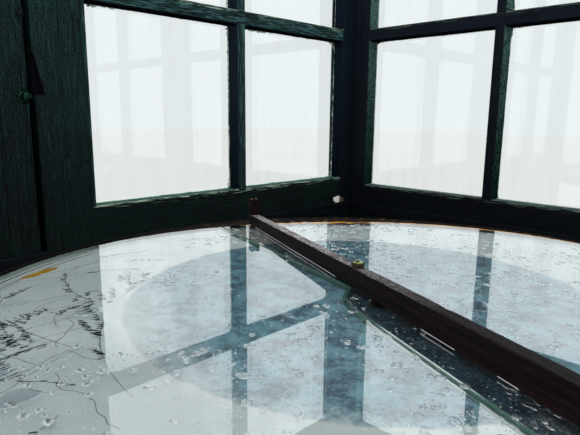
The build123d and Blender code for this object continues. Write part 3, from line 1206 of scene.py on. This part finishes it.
# Table hoop: a bent band round the board and a rounded bead inside it
hoop = {
    "steps": 288,
    "bandInner": boardRadius + 0.0003,
    "bandOuter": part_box("table_hoop")[1][0] - pivot.x,
    "beadInner": boardRadius - 0.005,
    "bandTop": 0.0014,
    "beadTop": 0.0020,
    "foot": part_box("table_hoop")[0][2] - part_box("cover_glass_left")[1][2],
    "unevenness": 0.0005,
    "bandRound": 0.0012,
    "beadRound": 0.0014,
    "play": 0.0002,
}


def turnedRing(name, inner, outer, foot, top, bevel):  # a rectangle swept round the pivot
    piece = primitive(bpy.ops.mesh.primitive_plane_add, name, size=1)
    for vertex in piece.data.vertices:
        radius = outer if vertex.co.x > 0 else inner
        height = top if vertex.co.y > 0 else foot
        vertex.co = (pivot.x + radius, pivot.y, room["glassTop"] + height)
    editing(
        piece,
        selectAll,
        (bpy.ops.mesh.bevel, {"offset": bevel, "segments": 3, "affect": "VERTICES"}),
        (bpy.ops.mesh.delete, {"type": "ONLY_FACE"}),
        selectAll,
        spinRound(hoop["steps"], pivot, (0, 0, 1)),
        selectAll,
        (bpy.ops.mesh.remove_doubles, {"threshold": 0.00001}),
        outward,
    )
    return piece


def unevenRing(piece):  # hollows and knocks, inwards from the true ring only
    middle = (hoop["beadInner"] + hoop["bandOuter"]) / 2
    for vertex in piece.data.vertices:
        out = Vector((vertex.co.x - pivot.x, vertex.co.y - pivot.y, 0))
        radius = out.length
        turn = math.atan2(out.y, out.x)
        wave = waver(*polar(14, turn), vertex.co.z * 90)
        knock = max(0, waver(*polar(60, turn), 7) - 0.25)
        drop = hoop["unevenness"] * (0.5 + 0.5 * wave + 1.6 * knock)
        if vertex.co.z > room["glassTop"]:
            vertex.co.z -= drop
        side = -1 if radius > middle else 1
        vertex.co += out.normalized() * side * drop * 0.4


def makeHoop():
    foot = room["boardTop"] - room["glassTop"] + hoop["play"]
    rings = (
        ("hoop_band", hoop["bandInner"], hoop["bandOuter"], hoop["foot"], hoop["bandTop"]),
        ("hoop_bead", hoop["beadInner"], hoop["bandInner"] - hoop["play"], foot, hoop["beadTop"]),
    )
    band = turnedRing(*rings[0], hoop["bandRound"])
    bead = turnedRing(*rings[1], hoop["beadRound"])
    for piece in (band, bead):
        unevenRing(piece)
        smooth(piece, 50)
    whole = join([band, bead], "hoop_rim")
    finishPiece(whole, materials["hoop"], instead=("table_hoop",))


# Cover glass halves with ground edges, a hair above the map
glassCut = {"bevel": 0.0013, "lift": 0.0005}


def makeCoverGlass():
    for half in ("left", "right"):
        nodeName = f"cover_glass_{half}"
        sheet = mergedCopy(nodeName, f"ground_glass_{half}")
        for vertex in sheet.data.vertices:
            if vertex.co.z < room["glassTop"] - 0.001:
                vertex.co.z += glassCut["lift"]
        rounded(sheet, glassCut["bevel"], 2)
        smooth(sheet, 50)
        evenShading(sheet)
        finishPiece(sheet, materials["cover"], instead=(nodeName,))


makeHoop()
makeCoverGlass()
print("hoop and cover glass made")


# Old dark putty over the glass's edge towards the corner, with varnish that has run from under it
crust = {
    "outer": 0.5222,
    "middle": 145,  # degrees round the pivot where it reaches furthest in
    "spread": 38,
    "reach": 0.040,
    "from": 62,
    "to": 216,
    "steps": 900,
    "rows": 7,
    "thickness": 0.0009,
    "varnishFrom": 78,
    "varnishTo": 161,
    "varnishReach": 0.0115,
    "varnishThickness": 0.0003,
    "varnishTones": ((128, 72, 18), (226, 160, 24)),
    "lift": 0.0001,
}


def crustReach(turn):  # how far in from the hoop the putty lies, at an angle in degrees
    share = math.exp(-((turn - crust["middle"]) / crust["spread"]) ** 2)
    angle = math.radians(turn)
    ragged = waver(*polar(30, angle), 3) + 0.5 * waver(*polar(120, angle), 5)
    return crust["reach"] * share * (1 + 0.10 * ragged) + 0.0022 * max(0, ragged) * (0.4 + share)


def polarSheet(name, start, end, steps, rows, radiusAt, heightAt, thickness):  # round the pivot
    cuts = {"x_subdivisions": steps, "y_subdivisions": rows}
    sheet = primitive(bpy.ops.mesh.primitive_grid_add, name, size=1, **cuts)
    for vertex in sheet.data.vertices:
        turn = start + (vertex.co.x + 0.5) * (end - start)
        share = vertex.co.y + 0.5
        x, y = polar(radiusAt(turn, share), math.radians(turn))
        vertex.co = (pivot.x + x, pivot.y + y, room["glassTop"] + heightAt(share, x, y))
    if sheet.data.polygons[0].normal.z < 0:
        editing(sheet, selectAll, (bpy.ops.mesh.flip_normals, {}))
    shape(sheet, "SOLIDIFY", thickness=thickness, offset=-1)
    smooth(sheet, 50)
    return sheet


def makeCrust():
    outer, start, end = crust["outer"], crust["varnishFrom"], crust["varnishTo"]
    lift = crust["lift"]

    def radiusAt(turn, share):
        return outer - share * max(0.0006, crustReach(turn))

    def heightAt(share, x, y):
        edge = min(1, 6 * (1 - share), 0.4 + 6 * share)
        lump = 0.6 + 0.8 * waver(x * 160, y * 160, 2) + 0.4 * waver(x * 420, y * 420, 6)
        return lift + crust["thickness"] * (0.2 + 0.8 * edge * max(0.1, min(1, lump)))

    def varnishRadius(turn, share):
        fade = min(1, (turn - start) / 50, (end - turn) / 4)
        swell = 0.75 + 0.7 * waver(turn * 0.9, 0, 4)
        putty = crustReach(turn)
        inner = outer - putty - crust["varnishReach"] * max(0, fade) * max(0.1, swell)
        return outer - putty * 0.8 + share * (inner - outer + putty * 0.8)

    def varnishHeight(share, x, y):
        return lift + crust["varnishThickness"] * (1 - share ** 4)

    sizes = (crust["from"], crust["to"], crust["steps"], crust["rows"])
    putty = polarSheet("putty_crust", *sizes, radiusAt, heightAt, lift)
    finishPiece(putty, materials["crust"])
    run = polarSheet("varnish_run", start, end, 300, 3, varnishRadius, varnishHeight, 0.00008)
    patch = {"scale": 60, "detail": 4, "rough": 0.6}
    values = {"Roughness": 0.25, "Coat Weight": 0.5}
    varnish = mottled("oldVarnish", crust["varnishTones"], patch, (0.36, 0.56), values)
    finishPiece(run, varnish)


# Ink on the map: ridge lines seen from the tower, with short strokes on their steep sides
inkLook = {
    "tones": ((8, 12, 26), (34, 42, 58)),
    "lift": 0.00012,
    "radius": 0.00075,
    "thickness": 0.0003,
    "ridges": 96,
    "seed": 11,
    "busySide": -125,  # degrees round the pivot where most of it is drawn
    "innerEdge": 0.325,
    "outerEdge": 0.490,
}


def drawnLine(curve, points, weight):
    line = curve.splines.new("NURBS")
    line.points.add(len(points) - 1)
    for spot, place in zip(line.points, points):
        spot.co = (*place, 1)
        spot.radius = weight
    line.order_u = 3
    line.use_endpoint_u = True


def makeInk():
    chance = random.Random(inkLook["seed"])
    curve = bpy.data.curves.new("map_ink", "CURVE")
    curve.dimensions = "3D"
    curve.bevel_depth = inkLook["radius"]
    curve.bevel_resolution = 0
    curve.resolution_u = 3
    height = room["mapTop"] + inkLook["lift"]

    def spot(radius, turn):
        x, y = polar(radius, turn)
        return (pivot.x + x, pivot.y + y, height)

    for number in range(inkLook["ridges"]):  # a ridge line, maybe with strokes down its side
        if chance.random() < 0.68:
            turn = math.radians(inkLook["busySide"] + chance.gauss(0, 22))
        else:
            turn = chance.uniform(0, 2 * math.pi)
        radius = chance.uniform(inkLook["innerEdge"] + 0.01, inkLook["outerEdge"] - 0.02)
        drift = chance.uniform(-0.6, 0.6)
        slope = chance.choice((-0.7, -0.35, 0.0, 0.35, 0.9))
        points = []
        for place in range(chance.randint(8, 26)):
            points.append((min(max(radius, inkLook["innerEdge"]), inkLook["outerEdge"]), turn))
            drift = 0.55 * drift + chance.uniform(-0.5, 0.5)
            radius += 0.0075 * (drift + slope)
            turn += chance.uniform(0.010, 0.022)
        if chance.random() < 0.75:
            drawnLine(curve, [spot(*point) for point in points], chance.uniform(0.28, 0.5))
        if chance.random() < 0.62:
            first = chance.randint(0, max(0, len(points) - 8))
            lean = chance.uniform(-0.5, 0.5)
            weight = chance.uniform(0.8, 1.45)
            for near, at in points[first:first + chance.randint(6, 13)]:
                for part in range(chance.randint(1, 3)):
                    shift = at + part * 0.0055 + chance.uniform(-0.001, 0.001)
                    long = chance.uniform(0.003, 0.0085)
                    start = near + chance.uniform(-0.003, 0.002)
                    bend = (lean + chance.uniform(-0.25, 0.25)) * long / near
                    middle = spot(start + long * 0.5, shift + bend)
                    end = spot(start + long, shift + bend * 1.4)
                    stroke = [spot(start, shift), middle, end]
                    drawnLine(curve, stroke, weight * chance.uniform(0.7, 1.2))
    ink = bpy.data.objects.new("map_ink", curve)
    bpy.context.scene.collection.objects.link(ink)
    choose(ink)
    bpy.ops.object.convert(target="MESH")
    ink = bpy.context.object
    for vertex in ink.data.vertices:  # pressed flat on the map
        vertex.co.z = height + (vertex.co.z - height) * inkLook["thickness"] / inkLook["radius"] / 2
    patch = {"scale": 90, "detail": 3}
    material = mottled("mapInk", inkLook["tones"], patch, (0, 1), {"Roughness": 0.6})
    finishPiece(ink, material)


# Rain on the cover glass: small drops, and wider wet patches near the room side
rain = {
    "drops": 2300,
    "seed": 5,
    "small": 0.0010,
    "large": 0.0054,
    "flat": 0.26,
    "fine": 6500,
    "fineSize": (0.0005, 0.0013),
    "clear": 0.480,
    "pools": 26,
    "poolHeight": 0.0006,
    "poolAlong": (-0.46, 0.10),
    "poolAcross": (-0.40, 0.42),
    "poolFree": (-0.05, 0.09),  # across the bar, where none lies
    "poolReach": 0.47,
    "lift": 0.0001,
}


def sphere(segments, rings, name):
    values = {"segments": segments, "ring_count": rings, "radius": 1}
    return primitive(bpy.ops.mesh.primitive_uv_sphere_add, name, **values)


def dropModel(segments, rings, foot=0.12):
    drop = sphere(segments, rings, "drop")
    level = {"plane_co": (0, 0, foot), "plane_no": (0, 0, 1)}
    editing(
        drop,
        selectAll,
        (bpy.ops.mesh.bisect, {**level, "clear_inner": True, "use_fill": True}),
        selectAll,
        (bpy.ops.transform.translate, {"value": (0, 0, -foot)}),
        outward,
    )
    return drop


def rainPlace(chance, size):  # over the table by chance, crowded where it lies thickest
    while True:
        radius = rain["clear"] * math.sqrt(chance.random())
        turn = chance.uniform(0, 2 * math.pi)
        x, y = polar(radius, turn)
        along = x * math.cos(barTurn) + y * math.sin(barTurn)
        across = y * math.cos(barTurn) - x * math.sin(barTurn)
        crowd = waver(x * 11, y * 11, 1.7)
        quiet = across > 0.03 and along > 0.02
        amount = (0.08 if quiet else 0.45) + (0.35 if across < 0 else 0)
        if chance.random() < amount + 1.4 * crowd:
            wide = size * chance.uniform(0.9, 1.6)
            spot = (pivot.x + x, pivot.y + y, room["glassTop"] + rain["lift"])
            place = standing(spot, chance.uniform(0, math.pi))
            return place @ Matrix.Diagonal((wide, size, size * rain["flat"], 1))


def makeDrops():
    chance = random.Random(rain["seed"])
    spread = rain["large"] - rain["small"]
    sizes = (rain["small"] + spread * chance.random() ** 3.0 for count in range(rain["drops"]))
    drops = [rainPlace(chance, size) for size in sizes]
    fine = (chance.uniform(*rain["fineSize"]) for count in range(rain["fine"]))
    beads = [rainPlace(chance, size) for size in fine]
    for places, name, model, angle in (
        (drops, "rain_drops", (10, 8), 60),
        (beads, "rain_beads", (7, 4), 80),
    ):
        whole = repeated(dropModel(*model), places, name)
        smooth(whole, angle)
        finishPiece(whole, materials["water"])


def makePools():  # wide flat drops with soft outlines, near the room side
    chance = random.Random(rain["seed"] + 1)
    low, high = rain["poolFree"]
    pools = []
    while len(pools) < rain["pools"]:
        along = chance.uniform(*rain["poolAlong"])
        across = chance.uniform(*rain["poolAcross"])
        long = 0.005 + 0.020 * chance.random() ** 1.6
        if math.hypot(along, across) > rain["poolReach"] - long or low < across < high:
            continue
        pool = sphere(40, 14, "pool")
        wide = long * chance.uniform(0.4, 0.85)
        turn = chance.uniform(0, math.pi)
        cosine, sine = math.cos(turn), math.sin(turn)
        lobes = []
        for count in (2, 3, 4):
            lobes.append((count, chance.uniform(0.04, 0.24) / count, chance.uniform(0, 6.3)))
        for vertex in pool.data.vertices:
            radius = min(1, math.hypot(vertex.co.x, vertex.co.y))
            angle = math.atan2(vertex.co.y, vertex.co.x)
            lobe = sum(size * math.cos(count * angle + phase) for count, size, phase in lobes)
            x, y = polar(radius * (1 + lobe), angle)
            x, y = x * long, y * wide
            swell = rain["poolHeight"] * (1 - radius ** 7) ** 0.5 if vertex.co.z > 0 else 0
            place = (along + x * cosine - y * sine, across + x * sine + y * cosine)
            vertex.co = onTable(*place, rain["lift"] + swell)
        pools.append(pool)
    whole = join(pools, "rain_pools")
    smooth(whole, 180)
    finishPiece(whole, materials["film"])


makeCrust()
makeInk()
makeDrops()
makePools()
print("putty, varnish, ink and rain made")


# Sighting bar: two lengths butted together, with rubbed and dented edges
barSizes = {
    "end": 0.492,
    "joint": 0.0820,
    "gap": 0.0008,
    "half": 0.00875,
    "lift": 0.0015,
    "near": 0.0355,
    "far": 0.0215,
    "bevel": 0.0013,
    "cuts": 110,
    "wear": 0.0011,
}


def barTop(along):  # height of the bar's top over the glass
    share = (along + barSizes["end"]) / (2 * barSizes["end"])
    return barSizes["lift"] + barSizes["near"] + share * (barSizes["far"] - barSizes["near"])


def barLength(start, end, cuts):
    half = barSizes["half"]
    piece = cuboid((start, -half, 0), (end, half, 1))
    for vertex in piece.data.vertices:
        vertex.co.z = barTop(vertex.co.x) if vertex.co.z > 0.5 else barSizes["lift"]
    editing(piece, selectAll, (bpy.ops.mesh.bevel, {"offset": barSizes["bevel"], "segments": 3}))
    pick(piece, "EDGE", lambda a, b: abs(a.x - b.x) > 0.1)
    editing(piece, (bpy.ops.mesh.subdivide, {"number_cuts": cuts}))
    pick(piece, "EDGE", lambda a, b: abs(a.z - b.z) > 0.008 or abs(a.y - b.y) > 0.008)
    editing(piece, (bpy.ops.mesh.subdivide, {"number_cuts": 3}))
    return piece


def wearBar(piece):  # only ever inwards from the true faces
    half = barSizes["half"]
    for vertex in piece.data.vertices:
        place = vertex.co.copy()
        top = barTop(place.x)
        middle = (top + barSizes["lift"]) / 2
        inward = Vector((0, 0, -1 if place.z > middle else 0.4))
        if abs(place.y) > half * 0.7:
            inward.y = -math.copysign(1, place.y)
        edge = abs(place.y) > half * 0.8 and place.z > top - 0.004
        fine = waver(place.x * 55, place.y * 200, place.z * 120)
        broad = waver(place.x * 9, place.y * 30, 4)
        dent = max(0, waver(place.x * 38, math.copysign(3, place.y), 9) - 0.22)
        depth = 0.00022 * (1 + fine) + 0.00018 * (1 + broad)
        if edge:
            depth += barSizes["wear"] * dent * 3
        vertex.co += inward * depth


def toBar(piece):  # from a line along X to the bar's place over the table
    place = standing((pivot.x, pivot.y, room["glassTop"]), barTurn)
    for vertex in piece.data.vertices:
        vertex.co = place @ vertex.co


def makeBar():
    cut = barSizes["joint"]
    near = barLength(-barSizes["end"], cut, barSizes["cuts"])
    far = barLength(cut + barSizes["gap"], barSizes["end"], barSizes["cuts"] * 2 // 3)
    bar = join([near, far], "worn_bar")
    wearBar(bar)
    smooth(bar, 40)
    toBar(bar)
    finishPiece(bar, materials["bar"], body="sight", instead=("sighting_bar",))


# Sights: eased dark blocks, each with two small copper screws through its top
sightScrew = {
    "inset": 0.010,
    "aside": 0.0052,
    "height": 0.0305,
    "turn": 0.7,
    "size": (0.0024, 0.0016),
    "tones": ((196, 122, 84), (70, 38, 28)),
}


def makeSights():
    for name in ("front_sight", "rear_sight"):
        block = mergedCopy(name, name + "_block")
        rounded(block, 0.0009)
        smooth(block)
        finishPiece(block, materials["sight"], body="sight", instead=(name,))


def screwModel(radius, height, slotted=True):  # a round head with a slot, foot at z 0
    screw = cylinder(20, radius, height)
    pick(screw, "FACE", lambda face: face.normal.z > 0.9)
    editing(
        screw,
        (bpy.ops.mesh.inset, {"thickness": radius * 0.3}),
        (bpy.ops.transform.translate, {"value": (0, 0, height * 0.35)}),
    )
    if slotted:
        long, half = radius * 2, radius * 0.13
        cutter = cuboid((-long, -half, height * 0.75), (long, half, height * 3))
        shape(screw, "BOOLEAN", operation="DIFFERENCE", object=cutter, solver="EXACT")
        bpy.data.objects.remove(cutter)
    return screw


def makeSightScrews():
    places = []
    for end in (1, -1):
        for side in (1, -1):
            along = end * (barSizes["end"] - sightScrew["inset"]) - end * 0.002 * side
            height = barTop(along) + sightScrew["height"]
            place = onTable(along, side * sightScrew["aside"], height)
            places.append(standing(place, barTurn + sightScrew["turn"] * side))
    screws = repeated(screwModel(*sightScrew["size"]), places, "sight_screws")
    smooth(screws, 30)
    copper = metal("copperScrew", *sightScrew["tones"])
    finishPiece(screws, copper, body="sight")


# Round level on the bar: a black cup with yellow-green spirit under a glass, and its bubble
level = {
    "along": 0.052,
    "radius": 0.009,
    "height": 0.007,
    "wall": 0.0024,
    "seat": 0.0004,
    "cupTones": ((20, 18, 16), (66, 56, 34)),
    "spiritTones": ((66, 90, 14), (150, 176, 30)),
}


def blackCup():
    material = newMaterial("levelCup")
    patch = between(cloud(objectPlace(), 300, detail=5, rough=0.7), 0.45, 0.62)
    colour = blend(patch, *level["cupTones"])
    fill({"Base Color": colour, "Metallic": 0.6, "Roughness": patch * 0.3 + 0.3})
    return material


def makeLevel():
    foot = onTable(level["along"], 0, barTop(level["along"]) - level["seat"])
    radius, height, wall = level["radius"], level["height"], level["wall"]
    cup = cylinder(48, radius, height, foot, "level_cup")
    pick(cup, "FACE", lambda face: face.normal.z > 0.9)
    down = {"value": (0, 0, -height * 0.5)}
    editing(
        cup,
        (bpy.ops.mesh.inset, {"thickness": wall}),
        (bpy.ops.mesh.extrude_region_move, {"TRANSFORM_OT_translate": down}),
    )
    rounded(cup, 0.0005)
    smooth(cup)
    finishPiece(cup, blackCup(), body="sight", instead=("round_level",))
    tall = height * 0.42
    place = foot + Vector((0, 0, height * 0.75 - tall / 2))
    spirit = cylinder(48, radius - wall * 0.9, tall, place, "level_spirit")
    pick(spirit, "FACE", lambda face: face.normal.z > 0.9)
    editing(
        spirit,
        (bpy.ops.mesh.inset, {"thickness": 0.0012}),
        (bpy.ops.transform.translate, {"value": (0, 0, 0.0005)}),
    )
    smooth(spirit, 60)
    values = {"Roughness": 0.08, "Coat Weight": 1}
    patch = {"scale": 240, "detail": 2}
    material = mottled("levelSpirit", level["spiritTones"], patch, (0.4, 0.6), values)
    finishPiece(spirit, material, body="sight")


makeBar()
makeSights()
makeSightScrews()
makeLevel()
print("sighting bar made")


# Paint that laps on to the glass round every light, painted bright green as light shining through
# it from behind, bare in places
lap = {
    "step": 0.0028,
    "least": 0.0004,
    "most": (0.0026, 0.0036, 0.0040, 0.0062),  # foot, far side, head and near side of a light
    "corner": 0.015,
    "northShare": 0.3,
    "thickness": 0.0004,
    # painted light: the bright green stands for light from behind the glass
    "green": (16, 132, 80),
    "dark": (8, 66, 46),
    "bare": (212, 234, 220),
}


def lapMaterial():
    material = newMaterial("lappedPaint")
    place = objectPlace()
    patch = cloud(place, 17, detail=4, rough=0.7)
    fine = cloud(place, 130, detail=4, rough=0.7)
    colour = blend(between(fine, 0.38, 0.6), lap["dark"], lap["green"])
    bare = between(patch, 0.42, 0.50) * between(fine, 0.40, 0.50)
    colour = blend(bare, colour, lap["bare"])
    fill({"Base Color": colour, "Roughness": 0.5, "Normal": relief(fine, 0.0004, 0.6)})
    return material


def raggedStrip(start, end, inward, most, seed):  # along a light's edge, ragged inside
    run = (end - start).length
    steps = max(8, int(run / lap["step"]))
    cuts = {"x_subdivisions": steps, "y_subdivisions": 1}
    strip = primitive(bpy.ops.mesh.primitive_grid_add, "strip", size=1, **cuts)
    for vertex in strip.data.vertices:
        share = vertex.co.x + 0.5
        place = start.lerp(end, share)
        if vertex.co.y > 0:
            at = share * run
            wave = 0.35 + 0.8 * waver(at * 34, seed, 1)
            wave += 0.9 * waver(at * 170, seed, 8)
            wave += 0.5 * waver(at * 420, seed, 4)
            wave *= min(1, max(0, 0.7 + 3 * waver(at * 8, seed, 6)))
            corner = math.exp(-((min(share, 1 - share) * run / 0.020) ** 2))
            reach = lap["corner"] * min(1, most / 0.004) * corner * max(0.1, wave)
            place = place + inward * (lap["least"] + most * max(0, wave) + reach)
        else:
            place = place - inward * 0.0015
        vertex.co = place
    return strip


def makeLappedPaint():
    material = lapMaterial()
    for side in ("west", "north"):
        for number in (0, 1):
            strips = []
            depth = sashSizes["glassDepth"] - 0.0003
            for count, (left, right, low, high) in enumerate(lightsOf(side, number)):
                ends = ((left, low), (right, low), (right, high), (left, high))
                corners = [onWall(side, run, depth, height) for run, height in ends]
                for edge in range(4):
                    start, end = corners[edge], corners[(edge + 1) % 4]
                    inward = (corners[(edge + 2) % 4] - end).normalized()
                    most = lap["most"][edge] * (1 if side == "west" else lap["northShare"])
                    seed = 7.3 * edge + 31 * count + 5 * number + (3 if side == "west" else 0)
                    strips.append(raggedStrip(start, end, inward, most, seed))
            whole = join(strips, f"{side}_paint_lap_{number + 1}")
            shape(whole, "SOLIDIFY", thickness=lap["thickness"], offset=0)
            finishPiece(whole, material)


makeLappedPaint()
print("lapped paint made")


# Hardware and marks on the walls
knob = {
    "run": 1.1397,
    "height": 1.3826,
    "radius": 0.0105,
    "reach": 0.026,
    "rose": 0.015,
    "tones": ((30, 62, 44), (10, 26, 18)),
}


def makeKnob():
    middle = onWall("west", knob["run"], 0, knob["height"])
    rose, radius = knob["rose"], knob["radius"]
    profile = [(0.0, 0.0), (rose, 0.0), (rose * 0.9, 0.0025), (0.0052, 0.004), (0.0045, 0.012)]
    profile += [(radius * 0.8, 0.015), (radius, 0.019), (radius * 0.85, 0.0235), (0.004, 0.026)]
    profile.append((0.0, knob["reach"]))
    add = bpy.ops.mesh.primitive_circle_add
    outline = primitive(add, "sash_knob", vertices=len(profile), radius=1)
    for vertex, (radius, out) in zip(outline.data.vertices, profile):
        vertex.co = middle + Vector((out, radius, 0))
    pick(outline, "EDGE", lambda a, b: abs(a.x - b.x) > knob["reach"] * 0.9)
    editing(
        outline,
        (bpy.ops.mesh.delete, {"type": "EDGE"}),
        selectAll,
        spinRound(32, middle, (1, 0, 0)),
        selectAll,
        (bpy.ops.mesh.remove_doubles, {"threshold": 0.00002}),
        outward,
    )
    smooth(outline, 40)
    finishPiece(outline, metal("knobMetal", *knob["tones"], 0.12))


# A flake of bare primer at the corner, where the rails meet
flake = {
    "run": 0.0525,
    "height": 1.0405,
    "wide": 0.066,
    "tall": 0.025,
    "thick": 0.0012,
    "tones": ((18, 16, 15), (74, 66, 52)),
    "white": (226, 228, 216),
}


def makeFlake():
    outline = {"vertices": 22, "radius": 1, "fill_type": "NGON"}
    chip = primitive(bpy.ops.mesh.primitive_circle_add, "bare_flake", **outline)
    for vertex in chip.data.vertices:
        angle = math.atan2(vertex.co.y, vertex.co.x)
        share = 1 + 0.35 * waver(*polar(2, angle), 3.3)
        run = flake["run"] + vertex.co.x * share * flake["wide"] / 2
        height = flake["height"] + vertex.co.y * share * flake["tall"] / 2 + vertex.co.x * 0.004
        vertex.co = onWall("west", run, -0.0002, height)
    shape(chip, "SOLIDIFY", thickness=flake["thick"], offset=0)
    rounded(chip, 0.0003)
    material = newMaterial("barePrimer")
    patch = cloud(objectPlace(), 120, detail=4, rough=0.7)
    side = objectPlace().y + patch * 0.016
    middle = room["north"] - flake["run"]
    white = between(side, middle + 0.014, middle + 0.004)
    colour = blend(between(patch, 0.4, 0.55), *flake["tones"])
    colour = blend(white, colour, flake["white"])
    fill({"Base Color": colour, "Roughness": 0.8})
    finishPiece(chip, material)


# Deck boards and their nails
def rowsOf(nodeName, axis, count):  # middles of a node's equal members along one axis
    places = sorted({round(vertex.co[axis], 4) for vertex in nodes[nodeName].data.vertices})
    width = (places[1] - places[0]) / 2
    reach = places[-1] - places[0] - 2 * width
    return [places[0] + width + number * reach / (count - 1) for number in range(count)]


def makeDeck():
    low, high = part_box("floor_deck")
    pitch = (high[0] - low[0]) / deck["boards"]
    boards = []
    for number in range(deck["boards"]):
        start = low[0] + number * pitch + (deck["gap"] if number else 0)
        end = low[0] + (number + 1) * pitch
        boards.append(cuboid((start, low[1], low[2]), (end, high[1], high[2])))
    whole = join(boards, "deck_boards")
    rounded(whole, deck["edge"])
    smooth(whole)
    evenShading(whole)
    finishPiece(whole, materials["deck"], instead=("floor_deck",))
    places = []
    chance = random.Random(3)
    for y in rowsOf("cross_joists", 1, deck["joists"]):
        for number in range(deck["boards"]):
            for share in (0.2, 0.8):
                x = low[0] + (number + share) * pitch + chance.uniform(-0.006, 0.006)
                spot = (x, y + chance.uniform(-0.008, 0.008), high[2] - 0.0006)
                places.append(Matrix.Translation(spot))
    return places


# Nails in the boards, and lag bolts that hold the stand to the deck
nailSizes = {
    "deck": (0.0036, 0.0008),
    "wall": (0.0028, 0.0007),
    "boardWide": 0.090,
    "sidingStep": 0.106,
    "sidingFace": 0.0957,
    "overDeck": 0.03,
    "underSash": 0.075,
    "scatter": 0.008,
    "tones": ((84, 64, 52), (44, 28, 20)),
}
bolt = {
    "reach": (0.17, 0.31),
    "head": 0.0095,
    "tall": 0.0065,
    "washer": 0.016,
    "plate": 0.002,
    "slopeFrom": 0.115,
    "tones": ((120, 116, 110), (70, 54, 42)),
}


def nailedRow(places, name, size, material):
    nails = repeated(screwModel(*nailSizes[size], slotted=False), places, name)
    smooth(nails, 40)
    finishPiece(nails, material)


def makeNails(deckPlaces):
    chance = random.Random(4)
    steel = metal("rustyNail", *nailSizes["tones"], 0.5)
    nailedRow(deckPlaces, "deck_nails", "deck", steel)
    wide, scatter = nailSizes["boardWide"], nailSizes["scatter"]
    low, high = room["deck"] + nailSizes["overDeck"], room["sashFoot"] - nailSizes["underSash"]
    inner, outer = [], []
    for side in ("west", "north"):
        inward = Vector((1, 0, 0)) if side == "west" else Vector((0, -1, 0))
        face = inward.to_track_quat("Z", "Y").to_matrix().to_4x4()
        back = (-inward).to_track_quat("Z", "Y").to_matrix().to_4x4()
        for start in windows[side]["starts"]:
            for number in range(int(windows[side]["width"] / wide)):
                for height in (low, high):
                    run = start + (number + 0.5) * wide + chance.uniform(-scatter, scatter)
                    place = onWall(side, run, -0.0001, height + chance.uniform(-0.006, 0.006))
                    inner.append(Matrix.Translation(place) @ face)
            for number in range(4):
                column = start + windows[side]["width"] * (0.04 + 0.306 * number)
                for row in range(7):
                    height = low + row * nailSizes["sidingStep"]
                    run = column + chance.uniform(-0.004, 0.004)
                    place = onWall(side, run, nailSizes["sidingFace"], height)
                    outer.append(Matrix.Translation(place) @ back)
    nailedRow(inner, "lining_nails", "wall", materials["lining"])
    nailedRow(outer, "siding_nails", "wall", materials["siding_west"])


def makeBolts():
    washer = cylinder(28, bolt["washer"], bolt["plate"])
    head = cylinder(6, bolt["head"], bolt["tall"], (0, 0, bolt["plate"]))
    for piece in (washer, head):
        rounded(piece, 0.0006)
    model = join([washer, head], "bolt")
    settle(model)
    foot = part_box("table_feet")
    reach, tall = foot[1][0] - pivot.x, foot[1][2] - room["deck"]
    slope = math.atan2(tall / 2, reach - bolt["slopeFrom"])
    places = []
    for quarter in range(4):
        for away in bolt["reach"]:
            height = room["deck"] + tall - (away - bolt["slopeFrom"]) * math.tan(slope) - 0.0004
            turn = Matrix.Rotation(quarter * math.pi / 2, 4, "Z")
            place = Matrix.Translation((pivot.x, pivot.y, 0)) @ turn
            places.append(place @ standing((away, 0, height), slope, "Y"))
    bolts = repeated(model, places, "lag_bolts")
    smooth(bolts, 30)
    finishPiece(bolts, metal("boltSteel", *bolt["tones"], 0.4))


# A small catch plate and a round plug on the west wall
marks = {  # run, height and size
    "plate": (1.1351, 1.5597, 0.0075, 0.0095),
    "plateTones": ((34, 40, 40), (14, 20, 22)),
    "plug": (1.1045, 1.1643, 0.0105),
}


def makeMarks():
    run, height, wide, tall = marks["plate"]
    middle = onWall("west", run, 0, height)
    plate = cuboid(middle + Vector((-0.0002, -wide, -tall)), middle + Vector((0.0016, wide, tall)))
    rounded(plate, 0.0005)
    places = []
    for side in (1, -1):
        spot = middle + Vector((0.0015, 0, side * tall * 0.55))
        places.append(standing(spot, math.pi / 2, "Y"))
    screws = repeated(screwModel(0.0022, 0.001), places, "plate_screws")
    whole = join([plate, screws], "catch_plate")
    smooth(whole)
    finishPiece(whole, metal("plateMetal", *marks["plateTones"], 0.4))
    run, height, radius = marks["plug"]
    place = standing(onWall("west", run, 0.0002, height), math.pi / 2, "Y")
    plug = repeated(screwModel(radius, 0.0010, slotted=False), [place], "wood_plug")
    smooth(plug, 30)
    finishPiece(plug, materials["post"])


makeKnob()
makeFlake()
makeNails(makeDeck())
makeBolts()
makeMarks()
print("knob, flake, boards, nails and bolts made")
